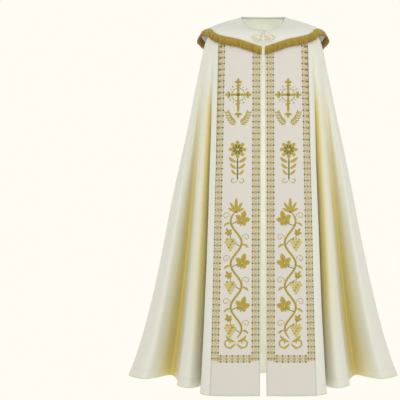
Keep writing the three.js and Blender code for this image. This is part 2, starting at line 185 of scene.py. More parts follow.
class Drape:
    """The cloak's middle surface. place counts the fold lines from the right front edge round the back."""

    SHOULDER_SHARE = 0.3
    YOKE_PULL = 0.72
    FLARE_SHARE, FLARE_POWER = 0.12, 8
    NECK_SIDE, NECK_FRONT, NECK_BACK = 83, 88, 72
    SIDE_DROP, FRONT_DROP, BACK_RISE = 5, 61, 7

    def __init__(self, lines: Sequence[FoldLine]) -> None:
        """Mirrors the left half's lines.

        Args:
            lines: The lines of the left half, from the front edge to the middle of the back.
        """
        every = [(line, -1) for line in lines[:-1]] + [(line, 1) for line in reversed(lines)]
        side = np.array([[s, 1, 1] for _, s in every], float)
        self.turn = np.radians([line.turn for line, _ in every])
        self.side = side[:, 0]
        self.shoulder = np.array([line.shoulder for line, _ in every], float) * side
        self.hem = np.array([line.hem for line, _ in every], float) * side
        self.crest = np.array([line.crest for line, _ in every], float)
        self.hood_z = np.array([line.hood_z for line, _ in every], float)
        self.flare = np.array([line.flare for line, _ in every], float)
        self.last = len(every) - 1
        self.middle = self.last / 2
        names = [line.name for line in lines]
        self.place_of = {name: float(i) for i, name in enumerate(names)}

    def neck(self, k: np.ndarray) -> np.ndarray:
        """The neckline's points on the lines k.

        Args:
            k: The lines' numbers.

        Returns:
            One point for each line.
        """
        c = np.cos(self.turn[k])
        y = np.where(c > 0, -self.NECK_FRONT * c, -self.NECK_BACK * c)
        z = np.where(c > 0, -self.FRONT_DROP * c, -self.BACK_RISE * c) - self.SIDE_DROP
        return np.stack([self.side[k] * self.NECK_SIDE * np.sin(self.turn[k]), y, z], -1)

    def line_points(self, k: np.ndarray, v: np.ndarray) -> np.ndarray:
        """Points on the lines.

        Args:
            k: The lines' numbers.
            v: Shares of the way from the neck, 0, to the hem, 1, past the shoulder ring at SHOULDER_SHARE.

        Returns:
            One point for each pair.
        """
        shoulder, hem, neck = self.shoulder[k], self.hem[k], self.neck(k)
        straight = 1 - self.FLARE_SHARE
        t = np.clip((v - self.SHOULDER_SHARE) / (1 - self.SHOULDER_SHARE), 0, None)
        out = straight * t + self.FLARE_SHARE * t**self.FLARE_POWER
        blend = np.stack([out, out, t], -1)
        below = shoulder + (hem - shoulder) * blend
        up = (self.crest[k] - shoulder[..., 2]) / (hem[..., 2] - shoulder[..., 2]) * straight
        crest = shoulder + (hem - shoulder) * up[..., None]
        crest[..., 2] = self.crest[k]
        slope = neck + (crest - neck) * self.YOKE_PULL
        s = (np.clip(v, 0, self.SHOULDER_SHARE) / self.SHOULDER_SHARE)[..., None]
        above = (
            (1 - s) ** 3 * neck
            + 3 * (1 - s) ** 2 * s * slope
            + 3 * (1 - s) * s**2 * crest
            + s**3 * shoulder
        )
        return np.where((v > self.SHOULDER_SHARE)[..., None], below, above)

    def points(self, place: np.ndarray, v: np.ndarray) -> np.ndarray:
        """Points of the surface, on a centripetal Catmull-Rom curve across the lines.

        Args:
            place: Places round the cloak.
            v: Shares of the way down, of the same shape.

        Returns:
            An array of the same shape, with x, y and z added.
        """
        k = np.clip(np.floor(place), 0, self.last - 1).astype(int)
        w = (place - k)[..., None]
        at = lambda n: self.line_points(np.clip(n, 0, self.last), v)
        p1, p2 = at(k), at(k + 1)
        p0 = np.where((k > 0)[..., None], at(k - 1), 2 * p1 - p2)
        p3 = np.where((k + 2 <= self.last)[..., None], at(k + 2), 2 * p2 - p1)
        gap = lambda a, b: np.maximum(np.linalg.norm(b - a, axis=-1, keepdims=True) ** 0.5, 1e-4)
        d0, d1, d2 = gap(p0, p1), gap(p1, p2), gap(p2, p3)
        t1 = ((p1 - p0) / d0 - (p2 - p0) / (d0 + d1) + (p2 - p1) / d1) * d1
        t2 = ((p2 - p1) / d1 - (p3 - p1) / (d1 + d2) + (p3 - p2) / d2) * d1
        return (
            p1
            + t1 * w
            + (-3 * p1 + 3 * p2 - 2 * t1 - t2) * w**2
            + (2 * p1 - 2 * p2 + t1 + t2) * w**3
        )

    def normals(self, place: np.ndarray, v: np.ndarray) -> np.ndarray:
        """Outward directions of the surface at the same pairs as points().

        Args:
            place: Places round the cloak.
            v: Shares of the way down, of the same shape.

        Returns:
            One unit vector for each pair.
        """
        step = 0.01
        v = np.maximum(v, step)
        ahead, behind = np.minimum(place + step, self.last), np.maximum(place - step, 0)
        around = self.points(ahead, v) - self.points(behind, v)
        down = self.points(place, v + step) - self.points(place, v - step)
        return unit(np.cross(around, down))

    def creased(self, place: np.ndarray, v: np.ndarray) -> np.ndarray:
        """How far the creases and the cloth's own waviness push each point outwards.

        Args:
            place: Places round the cloak.
            v: Shares of the way down, of the same shape.

        Returns:
            Millimetres outwards, one for each pair.
        """
        half = np.where(place > self.middle, self.last - place, place)
        total = np.zeros_like(place)
        for creases, here in ((RIGHT_CREASES, place <= self.middle), (LEFT_CREASES, place > self.middle)):
            for c in creases:
                along = np.clip((v - c.top) / (c.bottom - c.top), 0, 1)
                centre = c.place + c.lean * (along - 0.5)
                across = np.exp(-(((half - centre) / c.width) ** 2))
                total -= here * c.depth * across * np.sin(np.pi * along) ** 1.5
        wave = np.sin(1.7 * place + 9 * v) * np.sin(13 * v - 0.6 * place)
        fine = np.sin(5.3 * place + 31 * v + 2) * np.sin(23 * v - 3.1 * place + 1)
        return total + smooth((v - 0.3) / 0.2) * (0.8 * wave + 0.3 * fine)

    def value(self, column: np.ndarray, place: np.ndarray) -> np.ndarray:
        """One of the lines' own numbers at any place, straight between the lines."""
        return np.interp(place, np.arange(self.last + 1), column)

    def share_at_height(self, place: np.ndarray, z: np.ndarray) -> np.ndarray:
        """The shares of the way down where the surface reaches the heights z.

        Args:
            place: Places round the cloak.
            z: One height for each place, in millimetres.

        Returns:
            One share for each place.
        """
        low, high = np.zeros_like(place), np.ones_like(place)
        for _ in range(24):
            mid = (low + high) / 2
            above = self.points(place, mid)[..., 2] > z
            low, high = np.where(above, mid, low), np.where(above, high, mid)
        return low

    def even_places(self, first: float, last: float, step: float) -> np.ndarray:
        """Places from first to last about step apart at the hem, with every fold line among them.

        Args:
            first: The first place.
            last: The last place.
            step: The step in millimetres.

        Returns:
            The places in order.
        """
        marks = sorted({first, last, *range(math.ceil(first), math.floor(last) + 1)})
        found = [first]
        for a, b in zip(marks, marks[1:]):
            ends = self.points(np.array([a, b], float), np.array([1.0, 1.0]))
            count = max(2, math.ceil(float(np.linalg.norm(ends[1] - ends[0])) / step))
            found += list(np.linspace(a, b, count + 1)[1:])
        return np.array(found)


# ------------------------------------------------------------------ making meshes
def mesh_object(name: str, mesh: bpy.types.Mesh, material: bpy.types.Material) -> bpy.types.Object:
    """Links a smooth-shaded object with one material at the origin.

    Args:
        name: Its name.
        mesh: The mesh.
        material: Its material.

    Returns:
        The object.
    """
    piece = bpy.data.objects.new(name, mesh)
    mesh.materials.append(material)
    mesh.shade_smooth()
    bpy.context.collection.objects.link(piece)
    return piece


def set_attribute(mesh: bpy.types.Mesh, name: str, values: np.ndarray) -> None:
    """Writes a number, or a vector, for each vertex.

    Args:
        mesh: The mesh.
        name: The attribute's name.
        values: One value for each vertex.
    """
    kind = "FLOAT" if values.ndim == 1 else "FLOAT_VECTOR"
    layer = mesh.attributes.new(name, kind, "POINT")
    layer.data.foreach_set("value" if values.ndim == 1 else "vector", values.astype(np.float32).ravel())


@cache
def grid_template(along: int, across: int) -> tuple[np.ndarray, np.ndarray, np.ndarray]:
    """A unit grid from the grid operator, made once for each size.

    Args:
        along: How many faces lie along the first direction.
        across: How many lie along the second.

    Returns:
        The vertices' two grid numbers, and the faces as rows of four vertices.
    """
    bm = bmesh.new()
    bmesh.ops.create_grid(bm, x_segments=along, y_segments=across, size=0.5)
    i = np.array([round((v.co.x + 0.5) * along) for v in bm.verts])
    j = np.array([round((v.co.y + 0.5) * across) for v in bm.verts])
    faces = np.array([[v.index for v in f.verts] for f in bm.faces])
    bm.free()
    return i, j, faces


def build_mesh(name: str, points: np.ndarray, faces: np.ndarray) -> bpy.types.Mesh:
    """A mesh from points in millimetres and faces of four corners.

    Args:
        name: Its name.
        points: The vertices, in millimetres.
        faces: Rows of four vertices' numbers.

    Returns:
        The mesh.
    """
    mesh = bpy.data.meshes.new(name)
    mesh.vertices.add(len(points))
    mesh.vertices.foreach_set("co", (points * MM).astype(np.float32).ravel())
    mesh.loops.add(faces.size)
    mesh.loops.foreach_set("vertex_index", faces.ravel().astype(np.int32))
    mesh.polygons.add(len(faces))
    mesh.polygons.foreach_set("loop_start", np.arange(0, faces.size, faces.shape[1], dtype=np.int32))
    mesh.update(calc_edges=True)
    mesh.validate()
    return mesh


def sheet_mesh(name: str, points: np.ndarray, **attributes: np.ndarray) -> bpy.types.Mesh:
    """A grid of points, columns round the garment and rows down it, as one sheet that faces outwards.

    Args:
        name: The mesh's name.
        points: Columns by rows by three, in millimetres.
        **attributes: Numbers or vectors for the same grid.

    Returns:
        The mesh, with each attribute on its vertices.
    """
    i, j, faces = grid_template(points.shape[0] - 1, points.shape[1] - 1)
    mesh = build_mesh(name, points[i, j], faces)
    for key, values in attributes.items():
        set_attribute(mesh, key, values[i, j])
    return mesh


def dress(piece: bpy.types.Object, slot: str, *nodes: str) -> None:
    """Rides a piece on the garment's one body, in its nodes' place where it has any.

    Args:
        piece: The piece.
        slot: Its slot, which is not used.
        *nodes: The nodes that it stands for.
    """
    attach(piece, "root")
    if nodes:
        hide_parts(*nodes)
    log.info("%s: %d faces", piece.name, len(piece.data.polygons))


def thicken(piece: bpy.types.Object, thickness: float) -> None:
    """Gives a sheet its cloth's thickness in millimetres, half to each side.

    Args:
        piece: The sheet.
        thickness: The thickness in millimetres.
    """
    wall = piece.modifiers.new("cloth", "SOLIDIFY")
    wall.thickness = thickness * MM
    wall.offset = 0
    wall.use_rim = True


def grid_normals(points: np.ndarray) -> np.ndarray:
    """Outward directions on a grid of points.

    Args:
        points: A grid of points, in millimetres.

    Returns:
        One unit vector for each point.
    """
    around, down = np.gradient(points, axis=0), np.gradient(points, axis=1)
    return unit(np.cross(around, down))


def outer_face(points: np.ndarray, thickness: float) -> BVHTree:
    """A tree of a sheet's outer face, for what is sewn on it.

    Args:
        points: The sheet's middle, as a grid of points.
        thickness: The thickness in millimetres.

    Returns:
        The tree.
    """
    outer = points + grid_normals(points) * thickness / 2
    i, j, faces = grid_template(points.shape[0] - 1, points.shape[1] - 1)
    return BVHTree.FromPolygons([Vector(p) for p in outer[i, j]], faces.tolist())


def edge_shade(columns: int, strength: float, start: float) -> np.ndarray:
    """A column of numbers that rise to a strength at both side edges of a band, from a share of its width.

    Args:
        columns: How many columns the band has.
        strength: The value at the very edge.
        start: Where the rise starts.

    Returns:
        One number for each column, as columns by one.
    """
    across = np.abs(np.linspace(-1, 1, columns))[:, None]
    return strength * smooth((across - start) / (1 - start))


# ------------------------------------------------------------------ finishes
def srgb(red: int, green: int, blue: int) -> Rgba:
    """A screen colour of 0 to 255 as the linear colour that the shader takes."""
    linear = [c / 255 / 12.92 if c <= 10 else ((c / 255 + 0.055) / 1.055) ** 2.4 for c in (red, green, blue)]
    return (*linear, 1.0)


class Nodes:
    """A material's node tree, with the few steps that the finishes share."""

    def __init__(self, name: str) -> None:
        """Makes a material with an empty Principled shader.

        Args:
            name: The material's name.
        """
        self.material = bpy.data.materials.new(name)
        self.material.use_nodes = True
        self.tree = self.material.node_tree
        self.shader = self.tree.nodes["Principled BSDF"]

    def add(self, kind: str, **values: object) -> bpy.types.Node:
        """A new node, with settings by name and inputs as in_0, in_Scale and the like.

        Args:
            kind: The node's type.
            **values: Settings, and inputs with in_ before their name.

        Returns:
            The node.
        """
        node = self.tree.nodes.new(kind)
        for key, value in values.items():
            if not key.startswith("in_"):
                setattr(node, key, value)
        for key, value in values.items():
            if key.startswith("in_"):
                slot = key[3:]
                node.inputs[int(slot) if slot.isdigit() else slot.replace("_", " ")].default_value = value
        return node

    def link(self, source: bpy.types.NodeSocket, target: bpy.types.NodeSocket) -> None:
        """Joins two sockets."""
        self.tree.links.new(source, target)

    def math(self, operation: str, a: object, b: object = 0.0) -> bpy.types.NodeSocket:
        """A Math node's result, from sockets or numbers.

        Args:
            operation: What it works out.
            a: The first socket or number.
            b: The second, where there is one.

        Returns:
            The result's socket.
        """
        node = self.add("ShaderNodeMath", operation=operation)
        for slot, value in zip(node.inputs, (a, b)):
            if isinstance(value, bpy.types.NodeSocket):
                self.link(value, slot)
            else:
                slot.default_value = value
        return node.outputs[0]

    def mix(self, factor: object, a: object, b: object) -> bpy.types.NodeSocket:
        """A colour between two, which may be sockets or colours.

        Args:
            factor: How much of the second colour there is.
            a: The first colour.
            b: The second colour.

        Returns:
            The colour's socket.
        """
        node = self.add("ShaderNodeMix", data_type="RGBA")
        for slot, value in ((node.inputs[0], factor), (node.inputs[6], a), (node.inputs[7], b)):
            if isinstance(value, bpy.types.NodeSocket):
                self.link(value, slot)
            else:
                slot.default_value = value
        return node.outputs[2]

    def attribute(self, name: str) -> bpy.types.Node:
        """The Attribute node of a vertex attribute."""
        return self.add("ShaderNodeAttribute", attribute_name=name)

    def bump(self, height: bpy.types.NodeSocket, distance: float, strength: float) -> None:
        """Bumps the shader by a height, on top of any bump that it has.

        Args:
            height: The height's socket.
            distance: How high it stands, in metres.
            strength: The share of it that shows.
        """
        node = self.add("ShaderNodeBump", in_Distance=distance, in_Strength=strength)
        self.link(height, node.inputs["Height"])
        normal = self.shader.inputs["Normal"]
        if normal.is_linked:
            self.link(normal.links[0].from_socket, node.inputs["Normal"])
        self.link(node.outputs[0], normal)

    def set(self, **values: object) -> None:
        """Sets the shader's own sockets, with spaces in their names as underscores."""
        for key, value in values.items():
            self.shader.inputs[key.replace("_", " ")].default_value = value


@dataclass(frozen=True)
class ClothFinish:
    """A fine ivory weave with a soft sheen, and painted warm shade where the cloth lies deep in a fold."""

    name: str
    colour: Rgba
    # The next colour is the painted warm shade in folds, and the share after it is how far the deepest points
    # take it.
    deep: Rgba
    painted_shade_share: float
    roughness: float
    thread: float  # metres from one thread to the next
    sheen: float = 0.25

    def build(self) -> bpy.types.Material:
        """Makes the material. It reads the attributes grain, in metres on the flat cloth, and deep, which
        sets the painted warm shade.

        Returns:
            The material.
        """
        n = Nodes(self.name)
        grain = n.attribute("grain").outputs["Vector"]
        cloudy = n.add("ShaderNodeTexNoise", in_Scale=3.5, in_Detail=3.0, in_Roughness=0.55)
        n.link(grain, cloudy.inputs["Vector"])
        slub = n.add("ShaderNodeTexNoise", in_Scale=1.0, in_Detail=2.0)
        stretched = n.add("ShaderNodeMapping")
        stretched.inputs["Scale"].default_value = (900, 28, 1)
        n.link(grain, stretched.inputs["Vector"])
        n.link(stretched.outputs[0], slub.inputs["Vector"])
        # Painted shade: the colour goes towards the warm shade colour where the deep attribute is high.
        depth = n.attribute("deep").outputs["Fac"]
        shaded = n.mix(n.math("MULTIPLY", depth, self.painted_shade_share), self.colour, self.deep)
        darker = tuple(c * 0.955 for c in self.colour[:3]) + (1.0,)
        varied = n.mix(n.math("MULTIPLY", cloudy.outputs["Fac"], 0.35), shaded, darker)
        n.link(varied, n.shader.inputs["Base Color"])
        warp = self.thread_wave(n, grain, "X")
        weft = self.thread_wave(n, grain, "Y")
        n.bump(n.math("MAXIMUM", warp, weft), self.thread * 0.35, 0.35)
        n.bump(slub.outputs["Fac"], self.thread * 0.5, 0.25)
        n.bump(cloudy.outputs["Fac"], 0.002, 0.25)
        n.set(Roughness=self.roughness, Sheen_Weight=self.sheen, Sheen_Roughness=0.45, Specular_IOR_Level=0.3)
        return n.material

    def thread_wave(self, n: Nodes, grain: bpy.types.NodeSocket, axis: str) -> bpy.types.NodeSocket:
        """One direction's threads, as a wave texture.

        Args:
            n: The material's nodes.
            grain: The flat cloth's coordinates.
            axis: X for the warp, Y for the weft.

        Returns:
            The height's socket.
        """
        period_at_scale_one = math.pi / 10
        scale = period_at_scale_one / self.thread
        wave = n.add("ShaderNodeTexWave", bands_direction=axis, in_Scale=scale, in_Distortion=0.6)
        n.link(grain, wave.inputs["Vector"])
        return wave.outputs["Fac"]


@dataclass(frozen=True)
class ThreadFinish:
    """Satin-stitched embroidery thread. It reads thread: along, across and tone."""

    name: str
    light: Rgba
    middle: Rgba
    dark: Rgba
    pitch: float
    roughness: float = 0.42
    metallic: float = 0.15

    def build(self) -> bpy.types.Material:
        """Makes the material.

        Returns:
            The material.
        """
        n = Nodes(self.name)
        split = n.add("ShaderNodeSeparateXYZ")
        thread = n.attribute("thread").outputs["Vector"]
        n.link(thread, split.inputs[0])
        tone = n.math("MULTIPLY", split.outputs["Z"], 2.0)
        low = n.mix(n.math("MINIMUM", tone, 1.0), self.light, self.middle)
        high = n.mix(n.math("MAXIMUM", n.math("SUBTRACT", tone, 1.0), 0.0), low, self.dark)
        noise = n.add("ShaderNodeTexNoise", in_Scale=160.0, in_Detail=2.0)
        place = n.add("ShaderNodeTexCoord")
        n.link(place.outputs["Object"], noise.inputs["Vector"])
        varied = n.mix(n.math("MULTIPLY", noise.outputs["Fac"], 0.22), high, self.dark)
        n.link(varied, n.shader.inputs["Base Color"])
        ribs = n.math("SINE", n.math("MULTIPLY", split.outputs["X"], 2 * math.pi / self.pitch))
        n.bump(ribs, self.pitch * 0.4, 0.6)
        n.set(Roughness=self.roughness, Metallic=self.metallic, Sheen_Weight=0.1, Specular_IOR_Level=0.6)
        return n.material


@dataclass(frozen=True)
class FringeFinish:
    """Twisted gold fringe cord, with painted shade between the twists. It reads thread: along, round and
    tone.
    """

    name: str = "fringe_cord"
    twist: float = 0.0032
    length: float = 0.03

    def build(self) -> bpy.types.Material:
        """Makes the material.

        Returns:
            The material.
        """
        n = Nodes(self.name)
        split = n.add("ShaderNodeSeparateXYZ")
        n.link(n.attribute("thread").outputs["Vector"], split.inputs[0])
        turns = n.math("MULTIPLY", split.outputs["X"], 2 * math.pi / self.twist)
        spiral = n.math("SINE", n.math("ADD", turns, n.math("MULTIPLY", split.outputs["Y"], 2 * math.pi)))
        # Painted shade: the cord darkens towards srgb(134, 106, 30) between the twists.
        lit = n.math("ADD", n.math("MULTIPLY", spiral, 0.5), 0.5)
        along = n.math("MINIMUM", n.math("MULTIPLY", split.outputs["X"], 1 / self.length), 1.0)
        upper = n.mix(split.outputs["Z"], srgb(212, 198, 68), srgb(196, 172, 48))
        lower = n.mix(split.outputs["Z"], srgb(214, 172, 52), srgb(172, 122, 36))
        gold = n.mix(along, upper, lower)
        lit = n.math("ADD", n.math("MULTIPLY", lit, 0.75), 0.2)
        n.link(n.mix(lit, srgb(134, 106, 30), gold), n.shader.inputs["Base Color"])
        n.bump(spiral, 0.0004, 0.8)
        n.set(Roughness=0.48, Sheen_Weight=0.2, Specular_IOR_Level=0.5)
        return n.material


@dataclass(frozen=True)
class MetalFinish:
    """Pale gilt metal, with painted shade in darker, duller patches that fall at random."""

    name: str = "pale_gilt"
    colour: Rgba = field(default_factory=lambda: srgb(240, 237, 214))

    def build(self) -> bpy.types.Material:
        """Makes the material.

        Returns:
            The material.
        """
        n = Nodes(self.name)
        place = n.add("ShaderNodeTexCoord")
        noise = n.add("ShaderNodeTexNoise", in_Scale=900.0, in_Detail=3.0)
        n.link(place.outputs["Object"], noise.inputs["Vector"])
        # Painted shade: the colour goes darker in random patches.
        patchy_shade = n.mix(n.math("MULTIPLY", noise.outputs["Fac"], 0.6), self.colour, srgb(172, 160, 92))
        n.link(patchy_shade, n.shader.inputs["Base Color"])
        rough = n.math("ADD", n.math("MULTIPLY", noise.outputs["Fac"], 0.2), 0.2)
        n.link(rough, n.shader.inputs["Roughness"])
        n.bump(noise.outputs["Fac"], 0.0003, 0.3)
        n.set(Metallic=0.8, Coat_Weight=0.3, Coat_Roughness=0.1)
        return n.material


# ------------------------------------------------------------------ cloth pieces
class ClothMap:
    """The drape with its creases, at any distance outside the cloak's middle."""

    RADIUS = 1450.0  # the half circle that the cloak is cut from

    def __init__(self, drape: Drape) -> None:
        """Keeps the drape and measures the hem, for the flat cloth's grain.

        Args:
            drape: The cloak's middle surface.
        """
        self.drape = drape
        places = np.linspace(0, drape.last, 600)
        run = run_along(drape.points(places, np.ones_like(places)))
        self.hem_places, self.hem_run = places, run / run[-1]

    def grid(self, places: np.ndarray, shares: np.ndarray, out: float) -> np.ndarray:
        """The creased cloth on a grid of places and shares, out millimetres off the middle.

        Args:
            places: Places round the garment.
            shares: Shares of the way down.
            out: How far outside the middle the points lie.

        Returns:
            Columns by rows by three, in millimetres.
        """
        place, v = np.meshgrid(places, shares, indexing="ij")
        base = self.drape.points(place, v)
        normal = self.drape.normals(place, v)
        return base + normal * (self.drape.creased(place, v) + out)[..., None]

    def grain(self, places: np.ndarray, shares: np.ndarray) -> np.ndarray:
        """Where each grid point lies on the flat half circle, in metres.

        Args:
            places: Places round the garment.
            shares: Shares of the way down.

        Returns:
            Columns by rows by three.
        """
        place, v = np.meshgrid(places, shares, indexing="ij")
        angle = np.pi * np.interp(place, self.hem_places, self.hem_run)
        reach = (v * self.RADIUS + 90) * MM
        return np.stack([reach * np.cos(angle), reach * np.sin(angle), np.zeros_like(reach)], -1)

    def deep(self, points: np.ndarray, reach: int, full: float) -> np.ndarray:
        """How deep in a fold each point lies, from 0 to 1, which sets how much painted shade it takes.

        Args:
            points: A grid of points, columns round the cloak.
            reach: How many columns to each side a point is compared with.
            full: The depth in millimetres that counts as 1.

        Returns:
            One number for each point.
        """
        padded = np.pad(points, ((reach, reach), (0, 0), (0, 0)), mode="reflect", reflect_type="odd")
        sums = np.cumsum(np.pad(padded, ((1, 0), (0, 0), (0, 0))), axis=0)
        window = 2 * reach + 1
        mean = (sums[window:] - sums[:-window]) / window
        inward = np.einsum("ijk,ijk->ij", mean - points, grid_normals(points))
        return np.clip(inward / full, 0, 1)


@dataclass
class Cloak:
    """The cloak in three panels: two fronts and the back, joined in the deep valleys at the back."""

    cloth: ClothMap
    finish: ClothFinish
    column_step: float = 8.0
    rows: int = 150
    thickness: float = 1.6
    hem_depth: float = 0.018  # share of the way down that the turned-up hem takes
    crease_reach: int = 5  # columns that a small crease is compared over, for its painted shade
    crease_full: float = 7.0
    crease_strength: float = 0.6
    # edge_strength is how strong the painted shade along the hem's very edge is
    edge_strength: float = 0.8
    fold_reaches: tuple[tuple[int, float], ...] = ((15, 20.0), (30, 55.0))  # columns, and a full depth, for the painted shade in large folds
    pieces: dict[str, bpy.types.Object] = field(default_factory=dict)

    def build(self) -> None:
        """Makes the panels and names what each stands for."""
        drape = self.cloth.drape
        seam = drape.place_of["back valley"]
        material = self.finish.build()
        whole = drape.even_places(0, drape.last, self.column_step)
        shares = self.row_shares()
        points = self.cloth.grid(whole, shares, 0.0)
        points += self.hem_ridge(shares)[None, :, None] * grid_normals(points)
        grain = self.cloth.grain(whole, shares)
        # Painted shade: the cloth goes towards a warm shade colour deep in creases and folds, along the hem's
        # very edge and in the front valleys.
        deep = self.cloth.deep(points, self.crease_reach, self.crease_full) * self.crease_strength
        for reach, full in self.fold_reaches:
            deep = np.maximum(deep, self.cloth.deep(points, reach, full) ** 0.8)
        deep = np.maximum(deep, self.edge_strength * smooth((shares - 0.997) / 0.003)[None])
        deep = np.maximum(deep, self.warm_shade(whole, shares))
        spans = {
            "cloak_front_right": (0, seam),
            "cloak_back": (seam, drape.last - seam),
            "cloak_front_left": (drape.last - seam, drape.last),
        }
        nodes = {"cloak_back": ("cloak_back_right", "cloak_back_left")}
        close = 1e-6
        for node, (first, last) in spans.items():
            part = (whole >= first - close) & (whole <= last + close)
            mesh = sheet_mesh(node + "_cloth", points[part], grain=grain[part], deep=deep[part])
            piece = mesh_object(node + "_cloth", mesh, material)
            thicken(piece, self.thickness)
            dress(piece, CREAM_SLOT, *nodes.get(node, (node,)))
            self.pieces[node] = piece

    def warm_shade(self, places: np.ndarray, shares: np.ndarray) -> np.ndarray:
        """The painted warm shade in the front valleys, from 0 to 1: high up in the first, low in the second.

        Args:
            places: Places round the garment.
            shares: Shares of the way down.

        Returns:
            One number for each place and share.
        """
        drape = self.cloth.drape
        place, v = np.meshgrid(places, shares, indexing="ij")
        half = np.minimum(place, drape.last - place)
        first = np.exp(-(((half - drape.place_of["first valley"] - 0.9) / 1.2) ** 2))
        first = first * smooth((v - 0.34) / 0.1) * smooth((1.04 - v) / 0.3)
        second = np.exp(-(((half - drape.place_of["second valley"] - 0.2) / 0.95) ** 2))
        second = second * (0.35 + 0.5 * smooth((v - 0.4) / 0.4)) * smooth((v - 0.32) / 0.15)
        return np.maximum(first, second)

    def row_shares(self) -> np.ndarray:
        """Rows from the neck to the hem, closer together at the hem."""
        upper = np.linspace(0, 1 - self.hem_depth * 1.5, self.rows)
        return np.concatenate([upper, np.linspace(1 - self.hem_depth * 1.3, 1, 9)])

    def hem_ridge(self, shares: np.ndarray) -> np.ndarray:
        """How far the turned-up hem stands out, with its stitched line pulled in."""
        into = (shares - (1 - self.hem_depth)) / self.hem_depth
        return 0.5 * smooth(into * 6) - 0.6 * np.exp(-((into * 7) ** 2))


@dataclass
class FrontBands:
    """The two embroidered bands down the front edges."""

    cloth: ClothMap
    finish: ClothFinish
    top: float = 0.15  # share of the way down where the bands start, under the hood
    out: float = 2.0
    thickness: float = 1.2
    edge_dip: float = 0.5  # how far the sewn edges are pulled down
    dip_start: float = 0.93  # share of the half width where the dip starts
    edge_strength: float = 0.35
    edge_start: float = 0.9  # share of the half width where the edge's painted shade starts
    column_step: float = 5.0
    rows: int = 150
    trees: list[BVHTree] = field(default_factory=list)

    def build(self) -> None:
        """Makes both bands, and a tree of each one's outer face for what is sewn on it."""
        drape = self.cloth.drape
        edge = drape.place_of["band edge"]
        material = self.finish.build()
        for node, first, last in (("band_right", 0, edge), ("band_left", drape.last - edge, drape.last)):
            places = drape.even_places(first, last, self.column_step)
            shares = np.linspace(self.top, 1, self.rows)
            points = self.cloth.grid(places, shares, self.out)
            dip = edge_shade(len(places), self.edge_dip, self.dip_start)
            points -= grid_normals(points) * dip[..., None]
            # Painted shade along both sewn edges of the band.
            shade = edge_shade(len(places), self.edge_strength, self.edge_start)
            deep = np.broadcast_to(shade, points.shape[:2])
            mesh = sheet_mesh(node + "_cloth", points, grain=self.cloth.grain(places, shares), deep=deep)
            piece = mesh_object(node + "_cloth", mesh, material)
            thicken(piece, self.thickness)
            dress(piece, BAND_SLOT, node)
            self.trees.append(outer_face(points, self.thickness))


